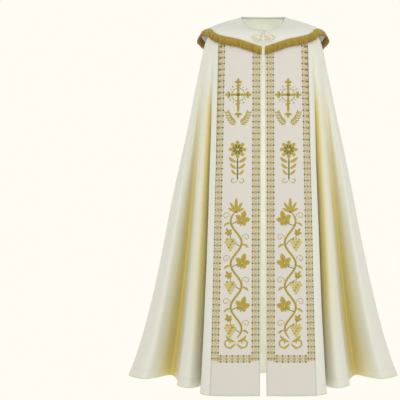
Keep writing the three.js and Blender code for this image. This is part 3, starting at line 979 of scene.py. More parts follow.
@dataclass
class Hood:
    """The hood round the shoulders with its point on the back, and the band down its middle."""

    cloth: ClothMap
    finish: ClothFinish
    band_finish: ClothFinish
    at_neck: float = 3.2
    over_band: float = 7.0
    stand: float = 5.0
    flare_power: float = 3.0
    thickness: float = 1.8
    band_out: float = 2.0
    band_thickness: float = 1.1
    column_step: float = 9.0
    rows: int = 46
    band_columns: int = 61
    band_rows: int = 90
    crease_reach: int = 5  # columns that a crease is compared over, for its painted shade
    crease_full: float = 8.0
    crease_strength: float = 0.25
    edge_strength: float = 0.35
    edge_start: float = 0.9  # share of the band's half width where the painted shade along its edge starts
    bridge: Spot = (11.5, 20.4, 0.8)  # first and last place, and reach
    tree: BVHTree | None = None

    def points(self, place: np.ndarray, share: np.ndarray) -> np.ndarray:
        """The hood's middle surface. Behind the shoulders it bridges the cloak's folds.

        Args:
            place: Places round the cloak.
            share: Shares of the way from the neck to the edge, of the same shape.

        Returns:
            One point for each pair.
        """
        drape = self.cloth.drape
        half = np.minimum(place, drape.last - place)
        first, last, reach = self.bridge
        spans = smooth(half - first) * smooth(last - half) * reach
        shifts = ((-1.0, 1), (-0.5, 2), (0.0, 3), (0.5, 2), (1.0, 1))
        return sum(weight * self.resting(place + shift * spans, share) for shift, weight in shifts) / 9

    def resting(self, place: np.ndarray, share: np.ndarray) -> np.ndarray:
        """The hood as it would follow every fold of the cloak.

        Args:
            place: Places round the cloak.
            share: Shares of the way from the neck to the edge, of the same shape.

        Returns:
            One point for each pair.
        """
        drape = self.cloth.drape
        edge = drape.share_at_height(place, drape.value(drape.hood_z, place))
        base = drape.points(place, share * edge)
        normal = drape.normals(place, share * edge)
        resting = self.at_neck + (self.over_band - self.at_neck) * smooth(share / 0.3)
        off = resting + (drape.value(drape.flare, place) - self.over_band) * share**self.flare_power
        base = base + normal * off[..., None]
        back = smooth(np.abs(base[..., 0]) / drape.NECK_SIDE + base[..., 1] / drape.NECK_BACK)
        base[..., 2] += self.stand * (1 - share) ** 8 * back
        return base

    def build(self) -> None:
        """Makes the hood and its band."""
        drape = self.cloth.drape
        points = self.waved(self.even_places(self.column_step), self.rows, 0.0)
        # Painted shade deep in the hood's creases.
        deep = self.crease_strength * self.cloth.deep(points, self.crease_reach, self.crease_full)
        mesh = sheet_mesh("hood_cloth", points, grain=self.grain(points), deep=deep)
        piece = mesh_object("hood_cloth", mesh, self.finish.build())
        thicken(piece, self.thickness)
        dress(piece, CREAM_SLOT, "hood_right", "hood_left")
        edge = drape.place_of["hood band edge"]
        places = np.linspace(edge, drape.last - edge, self.band_columns)
        middle = self.waved(places, self.band_rows, self.band_out)
        # Painted shade along both sewn edges of the hood's band.
        shade = edge_shade(len(places), self.edge_strength, self.edge_start)
        deep = np.broadcast_to(shade, middle.shape[:2])
        mesh = sheet_mesh("hood_band_cloth", middle, grain=self.grain(middle), deep=deep)
        band = mesh_object("hood_band_cloth", mesh, self.band_finish.build())
        thicken(band, self.band_thickness)
        dress(band, BAND_SLOT, "hood_band")
        self.tree = outer_face(middle, self.band_thickness)

    def even_places(self, step: float) -> np.ndarray:
        """Places round the hood about step millimetres apart along its edge.

        Args:
            step: The step in millimetres.

        Returns:
            The places in order.
        """
        drape = self.cloth.drape
        fine = np.linspace(0, drape.last, 2000)
        run = run_along(self.points(fine, np.ones_like(fine)))
        return np.interp(np.linspace(0, run[-1], int(run[-1] / step) + 1), run, fine)

    def waved(self, places: np.ndarray, rows: int, out: float) -> np.ndarray:
        """The hood's surface with its own gentle waviness.

        Args:
            places: Places round the hood, one for each column.
            rows: How many rows run from the neck to the edge.
            out: How far outside the hood's middle the points lie.

        Returns:
            Columns by rows by three.
        """
        place, share = np.meshgrid(places, np.linspace(0, 1, rows), indexing="ij")
        points = self.points(place, share)
        waves = 0.5 * share * np.sin(2.1 * place + 4 * share) * np.sin(1.3 * place)
        return points + grid_normals(points) * (waves + out)[..., None]

    @staticmethod
    def grain(points: np.ndarray) -> np.ndarray:
        """Where each point lies on the flat hood, in metres, nearly enough for its weave."""
        x, y, z = np.moveaxis(points, -1, 0)
        return np.stack([x, y * 0.7 - z, 0 * x], -1) * MM


@dataclass
class Fringe:
    """Twisted cords hanging from the hood's edge, under a narrow heading."""

    hood: Hood
    reach: float = 30.0
    droop: float = 0.55
    spacing: float = 1.75
    radius: float = 1.15
    heading: float = 7.0
    bunch: int = 10  # cords that hang together
    steps: int = 7  # faces along a cord
    sides: int = 6  # faces round a cord
    heading_thickness: float = 1.6
    # A dark sheet behind the cords paints the shade between them.
    shade_sheet_thickness: float = 0.8
    shade_sheet_share: float = 0.84  # of the cords' length
    seam_reach: float = 0.00002  # metres within which a cord's first and last side are joined

    def build(self) -> None:
        """Makes the fringe in its two lengths."""
        drape = self.hood.cloth.drape
        material = FringeFinish().build()
        places = self.hood.even_places(self.spacing)
        spans = {"fringe_right": (0, drape.middle), "fringe_left": (drape.middle, drape.last)}
        for number, (node, (first, last)) in enumerate(spans.items()):
            part = places[(places >= first) & (places <= last)]
            rng = np.random.default_rng(SEED + number)
            points, thread = self.cords(part, rng)
            i, j, faces = grid_template(self.steps, self.sides)
            every = np.concatenate([faces + k * len(i) for k in range(len(points))])
            mesh = build_mesh(node + "_cords", points[:, i, j].reshape(-1, 3), every)
            set_attribute(mesh, "thread", thread[:, i, j].reshape(-1, 3))
            piece = mesh_object(node + "_cords", mesh, material)
            weld = piece.modifiers.new("close the seam", "WELD")
            weld.merge_threshold = self.seam_reach
            dress(piece, GOLD_SLOT, node)
            heading = mesh_object(node + "_heading", self.heading_mesh(node, part), material)
            thicken(heading, self.heading_thickness)
            dress(heading, GOLD_SLOT)
            # A dark sheet behind the cords, for painted shade between them.
            shade_sheet = mesh_object(node + "_backing", self.shade_sheet_mesh(node, part), material)
            thicken(shade_sheet, self.shade_sheet_thickness)
            dress(shade_sheet, GOLD_SLOT)

    def frames(self, places: np.ndarray) -> tuple[np.ndarray, np.ndarray, np.ndarray, np.ndarray]:
        """The hood's edge at the places, with the directions to hang, out and along.

        Args:
            places: Places along the hood's edge.

        Returns:
            Points on the edge, and unit vectors downwards, outwards and along it.
        """
        ones = np.ones_like(places)
        edge = self.hood.points(places, ones)
        before = self.hood.points(places, ones * 0.85)
        slope = unit(edge - before)
        hang = unit(slope * (1 - self.droop) + np.array([0, 0, -1.0]) * self.droop)
        along = unit(np.gradient(edge, axis=0))
        out = unit(np.cross(along, hang))
        return edge, hang, out, along

    def cords(self, places: np.ndarray, rng: np.random.Generator) -> tuple[np.ndarray, np.ndarray]:
        """Points and thread values of two rows of cords.

        Args:
            places: Where the cords hang.
            rng: Draws each cord's length, tilt and tone.

        Returns:
            Two arrays of cords by points along by points round by three.
        """
        edge, hang, out, along = (np.repeat(a, 2, axis=0) for a in self.frames(places))
        count = len(edge)
        layer = np.tile([0.0, 1.0], count // 2)
        shift = (layer - 0.5) * self.spacing * 0.5 + rng.normal(0, 0.25, count)
        bunch = np.arange(count) // self.bunch
        each = rng.random((bunch[-1] + 1, 3))[bunch]
        length = self.reach * (1 - 0.06 * rng.random(count) - 0.05 * each[:, 0]) - 1.0
        gather = (self.bunch / 2 - 0.5 - np.arange(count) % self.bunch) * self.spacing / 2
        sway = rng.normal(0, 0.012, count) + 0.42 * gather / self.reach + 0.05 * (each[:, 1] - 0.5)
        lift = rng.normal(0, 0.02, count) + 0.06 * each[:, 2]
        start = edge + along * shift[:, None] + out * (1.9 + 2.2 * layer)[:, None] + hang * 1.0
        s = np.linspace(0, 1, self.steps + 1)[None, :, None, None]
        a = np.linspace(0, 2 * np.pi, self.sides + 1)[None, None, :, None]
        curl = rng.normal(0, 0.8, count)[:, None, None, None]
        wide = lambda x: x[:, None, None, :]
        one = lambda x: x[:, None, None, None]
        way = wide(hang) + wide(along) * one(sway) + wide(out) * one(lift)
        centre = wide(start) + way * one(length) * s
        centre = centre + wide(along) * curl * np.sin(np.pi * s)
        girth = self.radius * (1 - 0.45 * s**6) * (0.92 + 0.08 * np.sin(s * 22 + one(shift) * 9))
        points = centre + (wide(out) * np.sin(a) + wide(along) * np.cos(a)) * girth
        tone = np.clip(rng.normal(0.1, 0.18, count) + 0.8 * each[:, 1] ** 2, 0, 1)
        values = [length[:, None, None] * MM * s[..., 0], a[..., 0] / (2 * np.pi), tone[:, None, None]]
        thread = np.stack([np.broadcast_to(x, points.shape[:3]) for x in values], -1)
        return points, thread

    def shade_sheet_mesh(self, node: str, places: np.ndarray) -> bpy.types.Mesh:
        """A dark sheet behind the cords, shorter than they are, that paints the shade between them.

        Args:
            node: The name of the node that it stands for.
            places: Where the cords hang.

        Returns:
            The mesh.
        """
        edge, hang, out, _ = self.frames(places)
        down = np.linspace(1.0, self.shade_sheet_share * self.reach, 4)
        points = edge[:, None] + hang[:, None] * down[:, None] + out[:, None] * 1.0
        # Tone 1 is the darkest gold, for the painted shade between the cords.
        dark = np.ones((len(edge), 1))
        thread = np.stack(np.broadcast_arrays(self.reach * MM, down / self.reach, dark), -1)
        return sheet_mesh(node + "_backing", points, thread=thread)

    def heading_mesh(self, node: str, places: np.ndarray) -> bpy.types.Mesh:
        """The narrow braid that holds the cords, over the hood's very edge.

        Args:
            node: The name of the node that it stands for.
            places: Where the cords hang.

        Returns:
            The mesh.
        """
        edge, _, out, _ = self.frames(places)
        slope = unit(edge - self.hood.points(places, np.full_like(places, 0.9)))
        down = np.linspace(-0.6, 0.4, 5) * self.heading
        bulge = 2.0 + 1.3 * np.cos(np.linspace(-1.2, 1.2, 5))
        points = edge[:, None] + slope[:, None] * down[:, None] + out[:, None] * bulge[:, None]
        run = run_along(edge)[:, None] * MM
        thread = np.stack(np.broadcast_arrays(run, down / self.heading, 0.2), -1)
        return sheet_mesh(node + "_heading", points, thread=thread)


# ------------------------------------------------------------------ stitching
@dataclass
class Stitching:
    """Rows of small ivory stitches where the cloth is hemmed or a band is sewn on, in one mesh."""

    material: bpy.types.Material
    long: float = 3.4
    pitch: float = 5.2
    width: float = 0.8
    rise: float = 0.45
    rows: list[np.ndarray] = field(default_factory=list)

    def row(self, strip: np.ndarray, lift: float) -> None:
        """Adds stitches along the first row of a strip of cloth.

        Args:
            strip: Columns along the row, by two rows of cloth, by three.
            lift: How far the cloth's face stands off the strip.
        """
        line, normal = strip[:, 0], grid_normals(strip)[:, 0]
        run = run_along(line)
        s, t = np.linspace(0, 1, 4), np.array([-1.0, 0.0, 1.0])
        where = np.arange(self.pitch, run[-1] - self.pitch, self.pitch)[:, None] + self.long * s
        along = lambda values: np.stack([np.interp(where, run, column) for column in values.T], -1)
        centre, up = along(line), unit(along(normal))
        side = np.cross(up, unit(np.gradient(centre, axis=1)))
        full = np.sqrt(np.sin(np.pi * np.clip(s, 0.05, 0.95)))[:, None]
        across = (full * t * self.width / 2)[None, :, :, None]
        height = (full * (1 - t**2) * self.rise + lift)[None, :, :, None]
        self.rows.append(centre[:, :, None] + side[:, :, None] * across + up[:, :, None] * height)

    def build(self) -> None:
        """Makes the mesh of every row."""
        points = np.concatenate(self.rows)
        i, j, faces = grid_template(points.shape[1] - 1, points.shape[2] - 1)
        every = np.concatenate([faces + k * len(i) for k in range(len(points))])
        mesh = build_mesh("stitching", points[:, i, j].reshape(-1, 3), every)
        thread = np.stack([i / 3 * self.long * MM, 0.0 * i, 0.3 + 0.0 * i], -1)
        set_attribute(mesh, "thread", np.tile(thread, (len(points), 1)))
        piece = mesh_object("stitching", mesh, self.material)
        dress(piece, CREAM_SLOT)


# ------------------------------------------------------------------ embroidery
class Form(Enum):
    """How a stroke's width runs from its start to its end."""

    LEAF = "pointed at both ends"
    DROP = "pointed at its start, round at its end"
    STEM = "even, with round ends"
    DOT = "round"

    def width(self, s: np.ndarray) -> np.ndarray:
        """The share of the full width at each share of the length.

        Args:
            s: Shares of the length, from 0 to 1.

        Returns:
            One share for each of them.
        """
        match self:
            case Form.LEAF:
                return np.sin(np.pi * s) ** 0.75
            case Form.DROP:
                return np.sin(np.pi * s**1.7) ** 0.7 * 0.98 + 0.02 * (s < 1)
            case Form.STEM:
                return (1 - np.abs(2 * s - 1) ** 10) ** 0.5
            case Form.DOT:
                return np.sqrt(np.clip(1 - (2 * s - 1) ** 2, 0, 1))


class Tone(Enum):
    """The thread's shade."""

    LIGHT = 0.0
    GOLD = 0.45
    DARK = 1.0


@dataclass(frozen=True)
class Stroke:
    """One satin-stitched leaf, petal, stem or dot on the flat band: across and up, in millimetres."""

    start: Flat
    end: Flat
    width: float
    form: Form = Form.LEAF
    tone: Tone = Tone.GOLD
    bend: float = 0.0  # how far its middle is pushed to its left, as a share of its length
    rise: float = 0.9
    steps: int = 6

    def path(self, s: np.ndarray) -> np.ndarray:
        """The middle line at the shares s of its length.

        Args:
            s: Shares of the length, from 0 to 1.

        Returns:
            One point for each share.
        """
        start, end = np.array(self.start, float), np.array(self.end, float)
        side = np.array([start[1] - end[1], end[0] - start[0]])
        return start + (end - start) * s[:, None] + side * (self.bend * 4 * s * (1 - s))[:, None]

    def at(self, origin: Flat, turn: float = 0.0, scale: float = 1.0) -> "Stroke":
        """The stroke on a larger design.

        Args:
            origin: Where the stroke's own origin goes.
            turn: How far it is turned, in degrees.
            scale: How much larger it is.

        Returns:
            A stroke of the same kind.
        """
        c, d = math.cos(math.radians(turn)), math.sin(math.radians(turn))

        def move(p: Flat) -> Flat:
            """One point of the stroke on the larger design."""
            x, y = p[0] * scale, p[1] * scale
            return (origin[0] + c * x - d * y, origin[1] + d * x + c * y)

        return replace(self, start=move(self.start), end=move(self.end), width=self.width * scale)

    def mirror(self) -> "Stroke":
        """The stroke's mirror image about the middle line."""
        start, end = (-self.start[0], self.start[1]), (-self.end[0], self.end[1])
        return replace(self, start=start, end=end, bend=-self.bend)


@dataclass(frozen=True)
class Vine(Stroke):
    """A stem that sways from side to side on its way from start to end."""

    sway: float = 20.0
    swings: float = 3.0
    steps: int = 60

    def path(self, s: np.ndarray) -> np.ndarray:
        """The middle line at the shares s of its length.

        Args:
            s: Shares of the length, from 0 to 1.

        Returns:
            One point for each share.
        """
        start, end = np.array(self.start, float), np.array(self.end, float)
        straight = start + (end - start) * s[:, None]
        ahead = (end - start) / np.linalg.norm(end - start)
        side = np.array([-ahead[1], ahead[0]])
        return straight + side * (self.sway * np.sin(2 * np.pi * self.swings * s))[:, None]

    def mirror(self) -> "Vine":
        """The vine's mirror image, which sways the other way."""
        return replace(super().mirror(), sway=-self.sway)


@dataclass(frozen=True)
class Curl(Stroke):
    """A tendril that winds inwards from start round the point end."""

    turns: float = 1.25
    steps: int = 22
    clockwise: bool = False

    def path(self, s: np.ndarray) -> np.ndarray:
        """The middle line at the shares s of its length.

        Args:
            s: Shares of the length, from 0 to 1.

        Returns:
            One point for each share.
        """
        start, centre = np.array(self.start, float), np.array(self.end, float)
        arm = start - centre
        angle = (-1 if self.clockwise else 1) * 2 * np.pi * self.turns * s
        reach = 1 - 0.82 * s**0.8
        c, d = np.cos(angle), np.sin(angle)
        turned = np.stack([c * arm[0] - d * arm[1], d * arm[0] + c * arm[1]], -1)
        return centre + turned * reach[:, None]

    def mirror(self) -> "Curl":
        """The tendril's mirror image, which winds the other way."""
        return replace(super().mirror(), clockwise=not self.clockwise)


def mirrored(strokes: Iterable[Stroke]) -> list[Stroke]:
    """The strokes, each followed by its mirror image about the middle line."""
    return [one for stroke in strokes for one in (stroke, stroke.mirror())]


def polar(centre: Flat, angle: float, reach: float) -> Flat:
    """The point at an angle in degrees and a reach from a centre."""
    a = math.radians(angle)
    return (centre[0] + reach * math.cos(a), centre[1] + reach * math.sin(a))


class Motifs:
    """Traditional vestment ornament, each motif about its own origin."""

    @staticmethod
    def border(pitch: float) -> list[Stroke]:
        """One repeat of the borders: a rung with dark knots, a finer one half way, and a small cross.

        Args:
            pitch: The height of one repeat.

        Returns:
            The strokes.
        """
        h = pitch / 2
        one_side = [
            Stroke((0, 0), (11, 0), 4.6, Form.STEM, Tone.GOLD, steps=4),
            Stroke((7.2, 0), (15.8, 0), 9.0, Form.DOT, Tone.DARK, rise=1.1, steps=4),
            Stroke((0.8, 1.6), (8.2, 7.4), 5.6, Form.DROP, Tone.GOLD, steps=4),
            Stroke((0.8, -1.6), (8.2, -7.4), 5.6, Form.DROP, Tone.GOLD, steps=4),
            Stroke((0, h), (9.8, h), 4.8, Form.LEAF, Tone.GOLD, steps=4),
            Stroke((8.7, h), (13.3, h), 5.0, Form.DOT, Tone.DARK, steps=4),
            Stroke((11.6, 3.0), (11.6, h - 1.6), 4.0, Form.STEM, Tone.GOLD, steps=4),
            Stroke((11.6, -3.0), (11.6, 1.6 - h), 4.0, Form.STEM, Tone.GOLD, steps=4),
        ]
        middle = Stroke((0, -h), (0, h), 4.4, Form.STEM, Tone.GOLD, steps=6)
        knot = Stroke((-2.6, 0), (2.6, 0), 5.2, Form.DOT, Tone.DARK, rise=1.2, steps=4)
        return [middle, *mirrored(one_side), knot]

    @staticmethod
    def cross(size: float) -> list[Stroke]:
        """A cross whose arms end in trefoils, with rays between them.

        Args:
            size: Its size in millimetres.

        Returns:
            The strokes.
        """
        centre = (0.0, size * 0.12)
        strokes = []
        for k in range(24):
            here, ahead = polar(centre, 15 * k, size * 0.27), polar(centre, 15 * k + 13, size * 0.27)
            strokes.append(Stroke(here, ahead, size * 0.08, Form.DROP, Tone.GOLD if k % 2 else Tone.DARK))
        for k in range(16):
            angle, far = 22.5 * k + 11.25, 0.46 if k % 2 else 0.4
            ray = (polar(centre, angle, size * 0.32), polar(centre, angle, size * far))
            strokes.append(Stroke(*ray, size * 0.07, Form.DROP, Tone.GOLD))
        arms = ((90, 0.62), (-90, 0.98), (0, 0.46), (180, 0.46))
        for angle, reach in arms:
            tip = polar(centre, angle, size * reach * 0.8)
            strokes.append(Stroke(centre, tip, size * 0.12, Form.STEM, Tone.GOLD, rise=1.3))
            strokes.append(Stroke(centre, tip, size * 0.03, Form.LEAF, Tone.DARK, rise=1.7))
            for spread, long in ((-72, 0.17), (72, 0.17), (0, 0.21)):
                petal = polar(tip, angle + spread, size * long)
                strokes.append(Stroke(tip, petal, size * 0.13, Form.LEAF, Tone.GOLD, rise=1.3))
            collar = (polar(tip, angle + 90, size * 0.075), polar(tip, angle - 90, size * 0.075))
            strokes.append(Stroke(*collar, size * 0.05, Form.STEM, Tone.DARK, rise=1.7))
        ring = size * 0.085
        hub = Stroke((-ring, centre[1]), (ring, centre[1]), 2 * ring, Form.DOT, Tone.DARK, rise=2.0)
        return [*strokes, hub]

    @staticmethod
    def laurel(wide: float, tall: float, first: float, last: float, leaves: int) -> list[Stroke]:
        """Two laurel sprays round an oval, from its foot upwards, given by angles from straight down.

        Args:
            wide: The oval's half width.
            tall: The oval's half height.
            first: The first leaf's angle.
            last: The last leaf's angle.
            leaves: How many pairs of leaves a spray has.

        Returns:
            The strokes.
        """
        strokes = []
        for k in range(leaves):
            angle = -90 + first + (last - first) * k / (leaves - 1)
            a = math.radians(angle)
            foot = (wide * math.cos(a), tall * math.sin(a))
            tangent = math.degrees(math.atan2(tall * math.cos(a), -wide * math.sin(a)))
            size = 21 - 5 * k / leaves
            for spread in (34, -34):
                tip = polar(foot, tangent + spread, size)
                strokes.append(Stroke(foot, tip, size * 0.42, Form.LEAF, bend=math.copysign(0.12, spread)))
            b = math.radians(-90 + first + (last - first) * (k + 1) / (leaves - 1))
            joint = (wide * math.cos(b), tall * math.sin(b))
            strokes.append(Stroke(foot, joint, 2.8, Form.STEM, Tone.DARK, rise=0.8))
        return mirrored(strokes)

    @staticmethod
    def rosette(petals: int, reach: float) -> list[Stroke]:
        """A double flower seen from the front.

        Args:
            petals: How many petals each ring has.
            reach: The petals' length.

        Returns:
            The strokes.
        """
        strokes = []
        for k in range(petals):
            angle = 90 + 360 * k / petals
            half = 180 / petals
            petal = (polar((0, 0), angle, reach * 0.18), polar((0, 0), angle, reach))
            strokes.append(Stroke(*petal, reach * 0.5, Form.DROP))
            tip = polar((0, 0), angle + half, reach * 0.66)
            strokes.append(Stroke((0, 0), tip, reach * 0.22, Form.LEAF, Tone.DARK, rise=1.2))
        ring = reach * 0.2
        strokes.append(Stroke((-ring, 0), (ring, 0), 2 * ring, Form.DOT, Tone.LIGHT, rise=1.8))
        return strokes

    @staticmethod
    def vine_leaf(size: float) -> list[Stroke]:
        """A five-lobed vine leaf that grows upwards from its stalk.

        Args:
            size: Its size in millimetres.

        Returns:
            The strokes.
        """
        strokes = [Stroke((0, -size * 0.55), (0, 0), size * 0.08, Form.STEM, Tone.DARK)]
        for spread, reach in ((-128, 0.55), (128, 0.55), (-62, 0.78), (62, 0.78), (0, 1.0)):
            tip = polar((0, 0), 90 + spread, size * reach)
            strokes.append(Stroke((0, 0), tip, size * 0.58, Form.LEAF, Tone.GOLD))
            vein = polar((0, 0), 90 + spread, size * reach * 0.82)
            strokes.append(Stroke((0, 0), vein, size * 0.07, Form.LEAF, Tone.DARK, rise=1.35))
        return strokes

    @staticmethod
    def grapes(size: float) -> list[Stroke]:
        """A bunch of grapes that hangs from its stalk.

        Args:
            size: Its size in millimetres.

        Returns:
            The strokes.
        """
        strokes = [Stroke((0, 0), (0, size * 0.5), size * 0.1, Form.STEM, Tone.DARK)]
        berry = size * 0.3
        for row, count in enumerate((3, 4, 3, 2, 1)):
            for k in range(count):
                x = (k - (count - 1) / 2) * berry * 0.98
                y = -row * berry * 0.84 - berry * 0.3
                tone = Tone.LIGHT if (row + k) % 3 else Tone.GOLD
                ends = ((x - berry / 2, y), (x + berry / 2, y))
                strokes.append(Stroke(*ends, berry, Form.DOT, tone, rise=1.7))
        return strokes


@dataclass
class Embroidery:
    """Strokes in one piece of thread work, laid on a band's outer face."""

    name: str
    tree: BVHTree
    front: bool
    material: bpy.types.Material
    strokes: list[Stroke] = field(default_factory=list)

    def add(self, strokes: Iterable[Stroke], origin: Flat, turn: float = 0.0, scale: float = 1.0) -> None:
        """Puts strokes with their origin at a place on the band, turned by degrees and scaled."""
        self.strokes += [stroke.at(origin, turn, scale) for stroke in strokes]

    def build(self) -> None:
        """Makes the mesh: each stroke a low dome whose rim lies just inside the ground cloth."""
        flat, faces, threads, count = [], [], [], 0
        for stroke in self.strokes:
            across = 2 if stroke.width < 6 else 4
            i, j, quads = grid_template(stroke.steps, across)
            points, thread = self.dome(stroke, stroke.steps, across)
            flat.append(points[i, j])
            threads.append(thread[i, j])
            faces.append(quads + count)
            count += len(i)
        points = self.lay(np.concatenate(flat))
        mesh = build_mesh(self.name, points, np.concatenate(faces))
        set_attribute(mesh, "thread", np.concatenate(threads))
        piece = mesh_object(self.name, mesh, self.material)
        dress(piece, GOLD_SLOT)

    @staticmethod
    def dome(stroke: Stroke, steps: int, across: int) -> tuple[np.ndarray, np.ndarray]:
        """A stroke's points, across, up and off the cloth, and its thread values.

        Args:
            stroke: The stroke.
            steps: How many faces run along it.
            across: How many run across it.

        Returns:
            Two grids of three numbers.
        """
        s = np.linspace(0, 1, steps + 1)
        t = np.linspace(-1, 1, across + 1)
        line = stroke.path(s)
        ahead = unit(np.gradient(line, axis=0))
        side = np.stack([-ahead[:, 1], ahead[:, 0]], -1)
        wide = stroke.width / 2 * stroke.form.width(s)
        points = line[:, None] + side[:, None] * (wide[:, None] * t)[..., None]
        fullness = np.clip(wide / (stroke.width / 2), 0, 1) ** 0.5
        height = stroke.rise * fullness[:, None] * (1 - t**2) - 0.25
        length = run_along(line)[:, None] * MM
        thread = np.stack(np.broadcast_arrays(length, wide[:, None] * t * MM, stroke.tone.value), -1)
        return np.concatenate([points, height[..., None]], -1), thread

    def lay(self, flat: np.ndarray) -> np.ndarray:
        """Drops flat points onto the band along Y and lifts each by its height along the band's normal.

        Args:
            flat: Points across, up and off the cloth.

        Returns:
            The same points in space.
        """
        far, toward = (-600.0, 1.0) if self.front else (600.0, -1.0)
        laid = np.empty_like(flat)
        for n, (a, b, h) in enumerate(flat):
            x = a if self.front else -a
            hit, normal, _, _ = self.tree.ray_cast(Vector((x, far, b)), Vector((0, toward, 0)))
            if hit is None:
                hit, normal, _, _ = self.tree.find_nearest(Vector((x, -150.0 if self.front else 170.0, b)))
            if normal.y * toward > 0:
                normal = -normal
            laid[n] = hit + normal * h
        return laid


@dataclass
class BandOrnament:
    """Where the borders and the motifs lie on each front band. side is -1 on the wearer's right."""

    pitch: float = 22.4
    top: float = -118.0
    foot: float = -1310.0
    inner: Flat = (26.5, 30.0)  # the inner border's middle at the chest and at the foot
    outer: Flat = (160.0, 182.0)
    chest: float = -140.0

    def border_x(self, ends: Flat, z: float) -> float:
        """Where a border's middle lies at a height."""
        return ends[0] + (ends[1] - ends[0]) * (z - self.chest) / (self.foot - self.chest)

    def sew(self, work: Embroidery, side: int) -> None:
        """Adds the whole ornament of one band to a piece of thread work.

        Args:
            work: The thread work.
            side: 1 on the wearer's left, -1 on the right.
        """
        repeat = Motifs.border(self.pitch)
        rungs = int((self.top - self.foot) / self.pitch)
        for k in range(rungs + 1):
            z = self.foot + k * self.pitch
            for ends in (self.inner, self.outer):
                work.add(repeat, (side * self.border_x(ends, z), z))
        low, high = self.border_x(self.inner, self.foot), self.border_x(self.outer, self.foot)
        count = round((high - low) / self.pitch)
        step = (high - low) / count
        for k in range(1, count):
            work.add(repeat, (side * (low + k * step), self.foot), 90, step / self.pitch)
        self.motifs(work, side)

    def motifs(self, work: Embroidery, side: int) -> None:
        """The three designs down the middle of the band.

        Args:
            work: The thread work.
            side: 1 on the wearer's left, -1 on the right.
        """
        centre = lambda z: side * (self.border_x(self.inner, z) + self.border_x(self.outer, z)) / 2
        work.add(Motifs.cross(92), (centre(-322), -322))
        work.add(Motifs.laurel(45, 70, 12, 62, 6), (centre(-350), -350))
        work.add(Motifs.rosette(8, 36), (centre(-520), -520))
        stalk = [Stroke((0, -28), (0, -122), 6.4, Form.STEM, Tone.DARK, steps=8)]
        for k, z in enumerate((-48, -72, -96)):
            leaf = Stroke((0, z), (34 - 5 * k, z + 22), 16 - 2 * k, Form.LEAF, Tone.GOLD, bend=-0.14)
            stalk += mirrored([leaf])
        stalk += mirrored([Curl((3, -118), (17, -116), 4.6, Form.STEM, Tone.GOLD, turns=0.9)])
        work.add(stalk, (centre(-540), -520))
        self.grape_vine(work, centre, side)

    def grape_vine(self, work: Embroidery, centre: Callable[[float], float], side: int) -> None:
        """A vine that climbs the lower band, with a leaf or a bunch of grapes in each of its bends.

        Args:
            work: The thread work.
            centre: Gives the band's middle at a height.
            side: 1 on the wearer's left, -1 on the right.
        """
        top, foot, sway, swings = -752.0, -1238.0, 21.0, 3.0
        middle = centre((top + foot) / 2)
        ends = ((0, foot - top), (0, 0))
        stem = Vine(*ends, 10.0, Form.STEM, Tone.GOLD, sway=sway * side, swings=swings, rise=1.2)
        core = Vine(*ends, 2.2, Form.STEM, Tone.DARK, sway=sway * side, swings=swings, rise=1.7)
        work.add([stem, core], (middle, top))
        bend = (top - foot) / (2 * swings)
        for k in range(int(2 * swings)):
            z = foot + (k + 0.5) * bend
            way = side * (-1 if k % 2 == 0 else 1)
            outer, inner = middle + way * sway, middle - way * 22
            ends = ((outer, z - 16), (inner, z + (2 if k % 2 else 22)))
            work.add([Stroke(*ends, 4.4, Form.STEM, Tone.DARK, bend=0.1)], (0, 0))
            if k % 2:
                work.add(Motifs.vine_leaf(43), (inner, z + 2), way * 16)
            else:
                work.add(Motifs.grapes(40), (inner, z + 16))
                work.add(Motifs.vine_leaf(23), (inner - way * 5, z + 36), way * 30)
            curl = Curl((way * 2, 12), (way * 17, 20), 3.6, Form.STEM, Tone.GOLD, clockwise=way > 0)
            spur = Stroke((0, -6), (way * 26, -22), 11, Form.LEAF, Tone.GOLD, bend=0.16 * way)
            work.add([curl, spur], (outer, z))
        for spread, reach, wide in ((-64, 36, 13), (64, 36, 13), (-32, 48, 14), (32, 48, 14), (0, 58, 16)):
            leaf = Stroke((0, 0), polar((0, 0), 90 + spread, reach), wide, Form.LEAF)
            work.add([leaf], (middle, top - 6))
        work.add([Stroke((-5, 0), (5, 0), 8, Form.DOT, Tone.DARK, rise=1.8)], (middle, top - 6))
        scroll = mirrored([
            Curl((3, 4), (28, 2), 7.0, Form.STEM, Tone.GOLD, turns=1.1, rise=1.2),
            Stroke((0, 6), (40, 34), 14, Form.LEAF, Tone.GOLD, bend=-0.16),
            Stroke((0, -4), (22, -26), 9, Form.LEAF, Tone.GOLD, bend=0.16),
        ])
        work.add(scroll, (middle, foot - 14))


@dataclass
class HoodOrnament:
    """The borders and the design on the hood's band."""

    pitch: float = 22.4
    border_x: float = 78.0
    border_scale: float = 1.12
    rungs: int = 11
    first_rung: float = -22.0
    centre_z: float = -170.0

    def sew(self, work: Embroidery) -> None:
        """Adds the ornament to a piece of thread work.

        Args:
            work: The thread work.
        """
        repeat = Motifs.border(self.pitch)
        for k in range(self.rungs):
            z = self.first_rung - k * self.pitch
            for side in (-1, 1):
                work.add(repeat, (side * self.border_x, z), scale=self.border_scale)
        work.add(Motifs.cross(108), (0, self.centre_z))
        work.add(Motifs.laurel(46, 84, 14, 58, 5), (0, self.centre_z - 18))
        work.add([s.at((0, 0), 180) for s in Motifs.laurel(46, 84, 18, 58, 4)], (0, self.centre_z + 22))
        work.add(Motifs.rosette(6, 13), (0, self.centre_z - 118))
        work.add(Motifs.rosette(6, 12), (0, self.centre_z + 112))


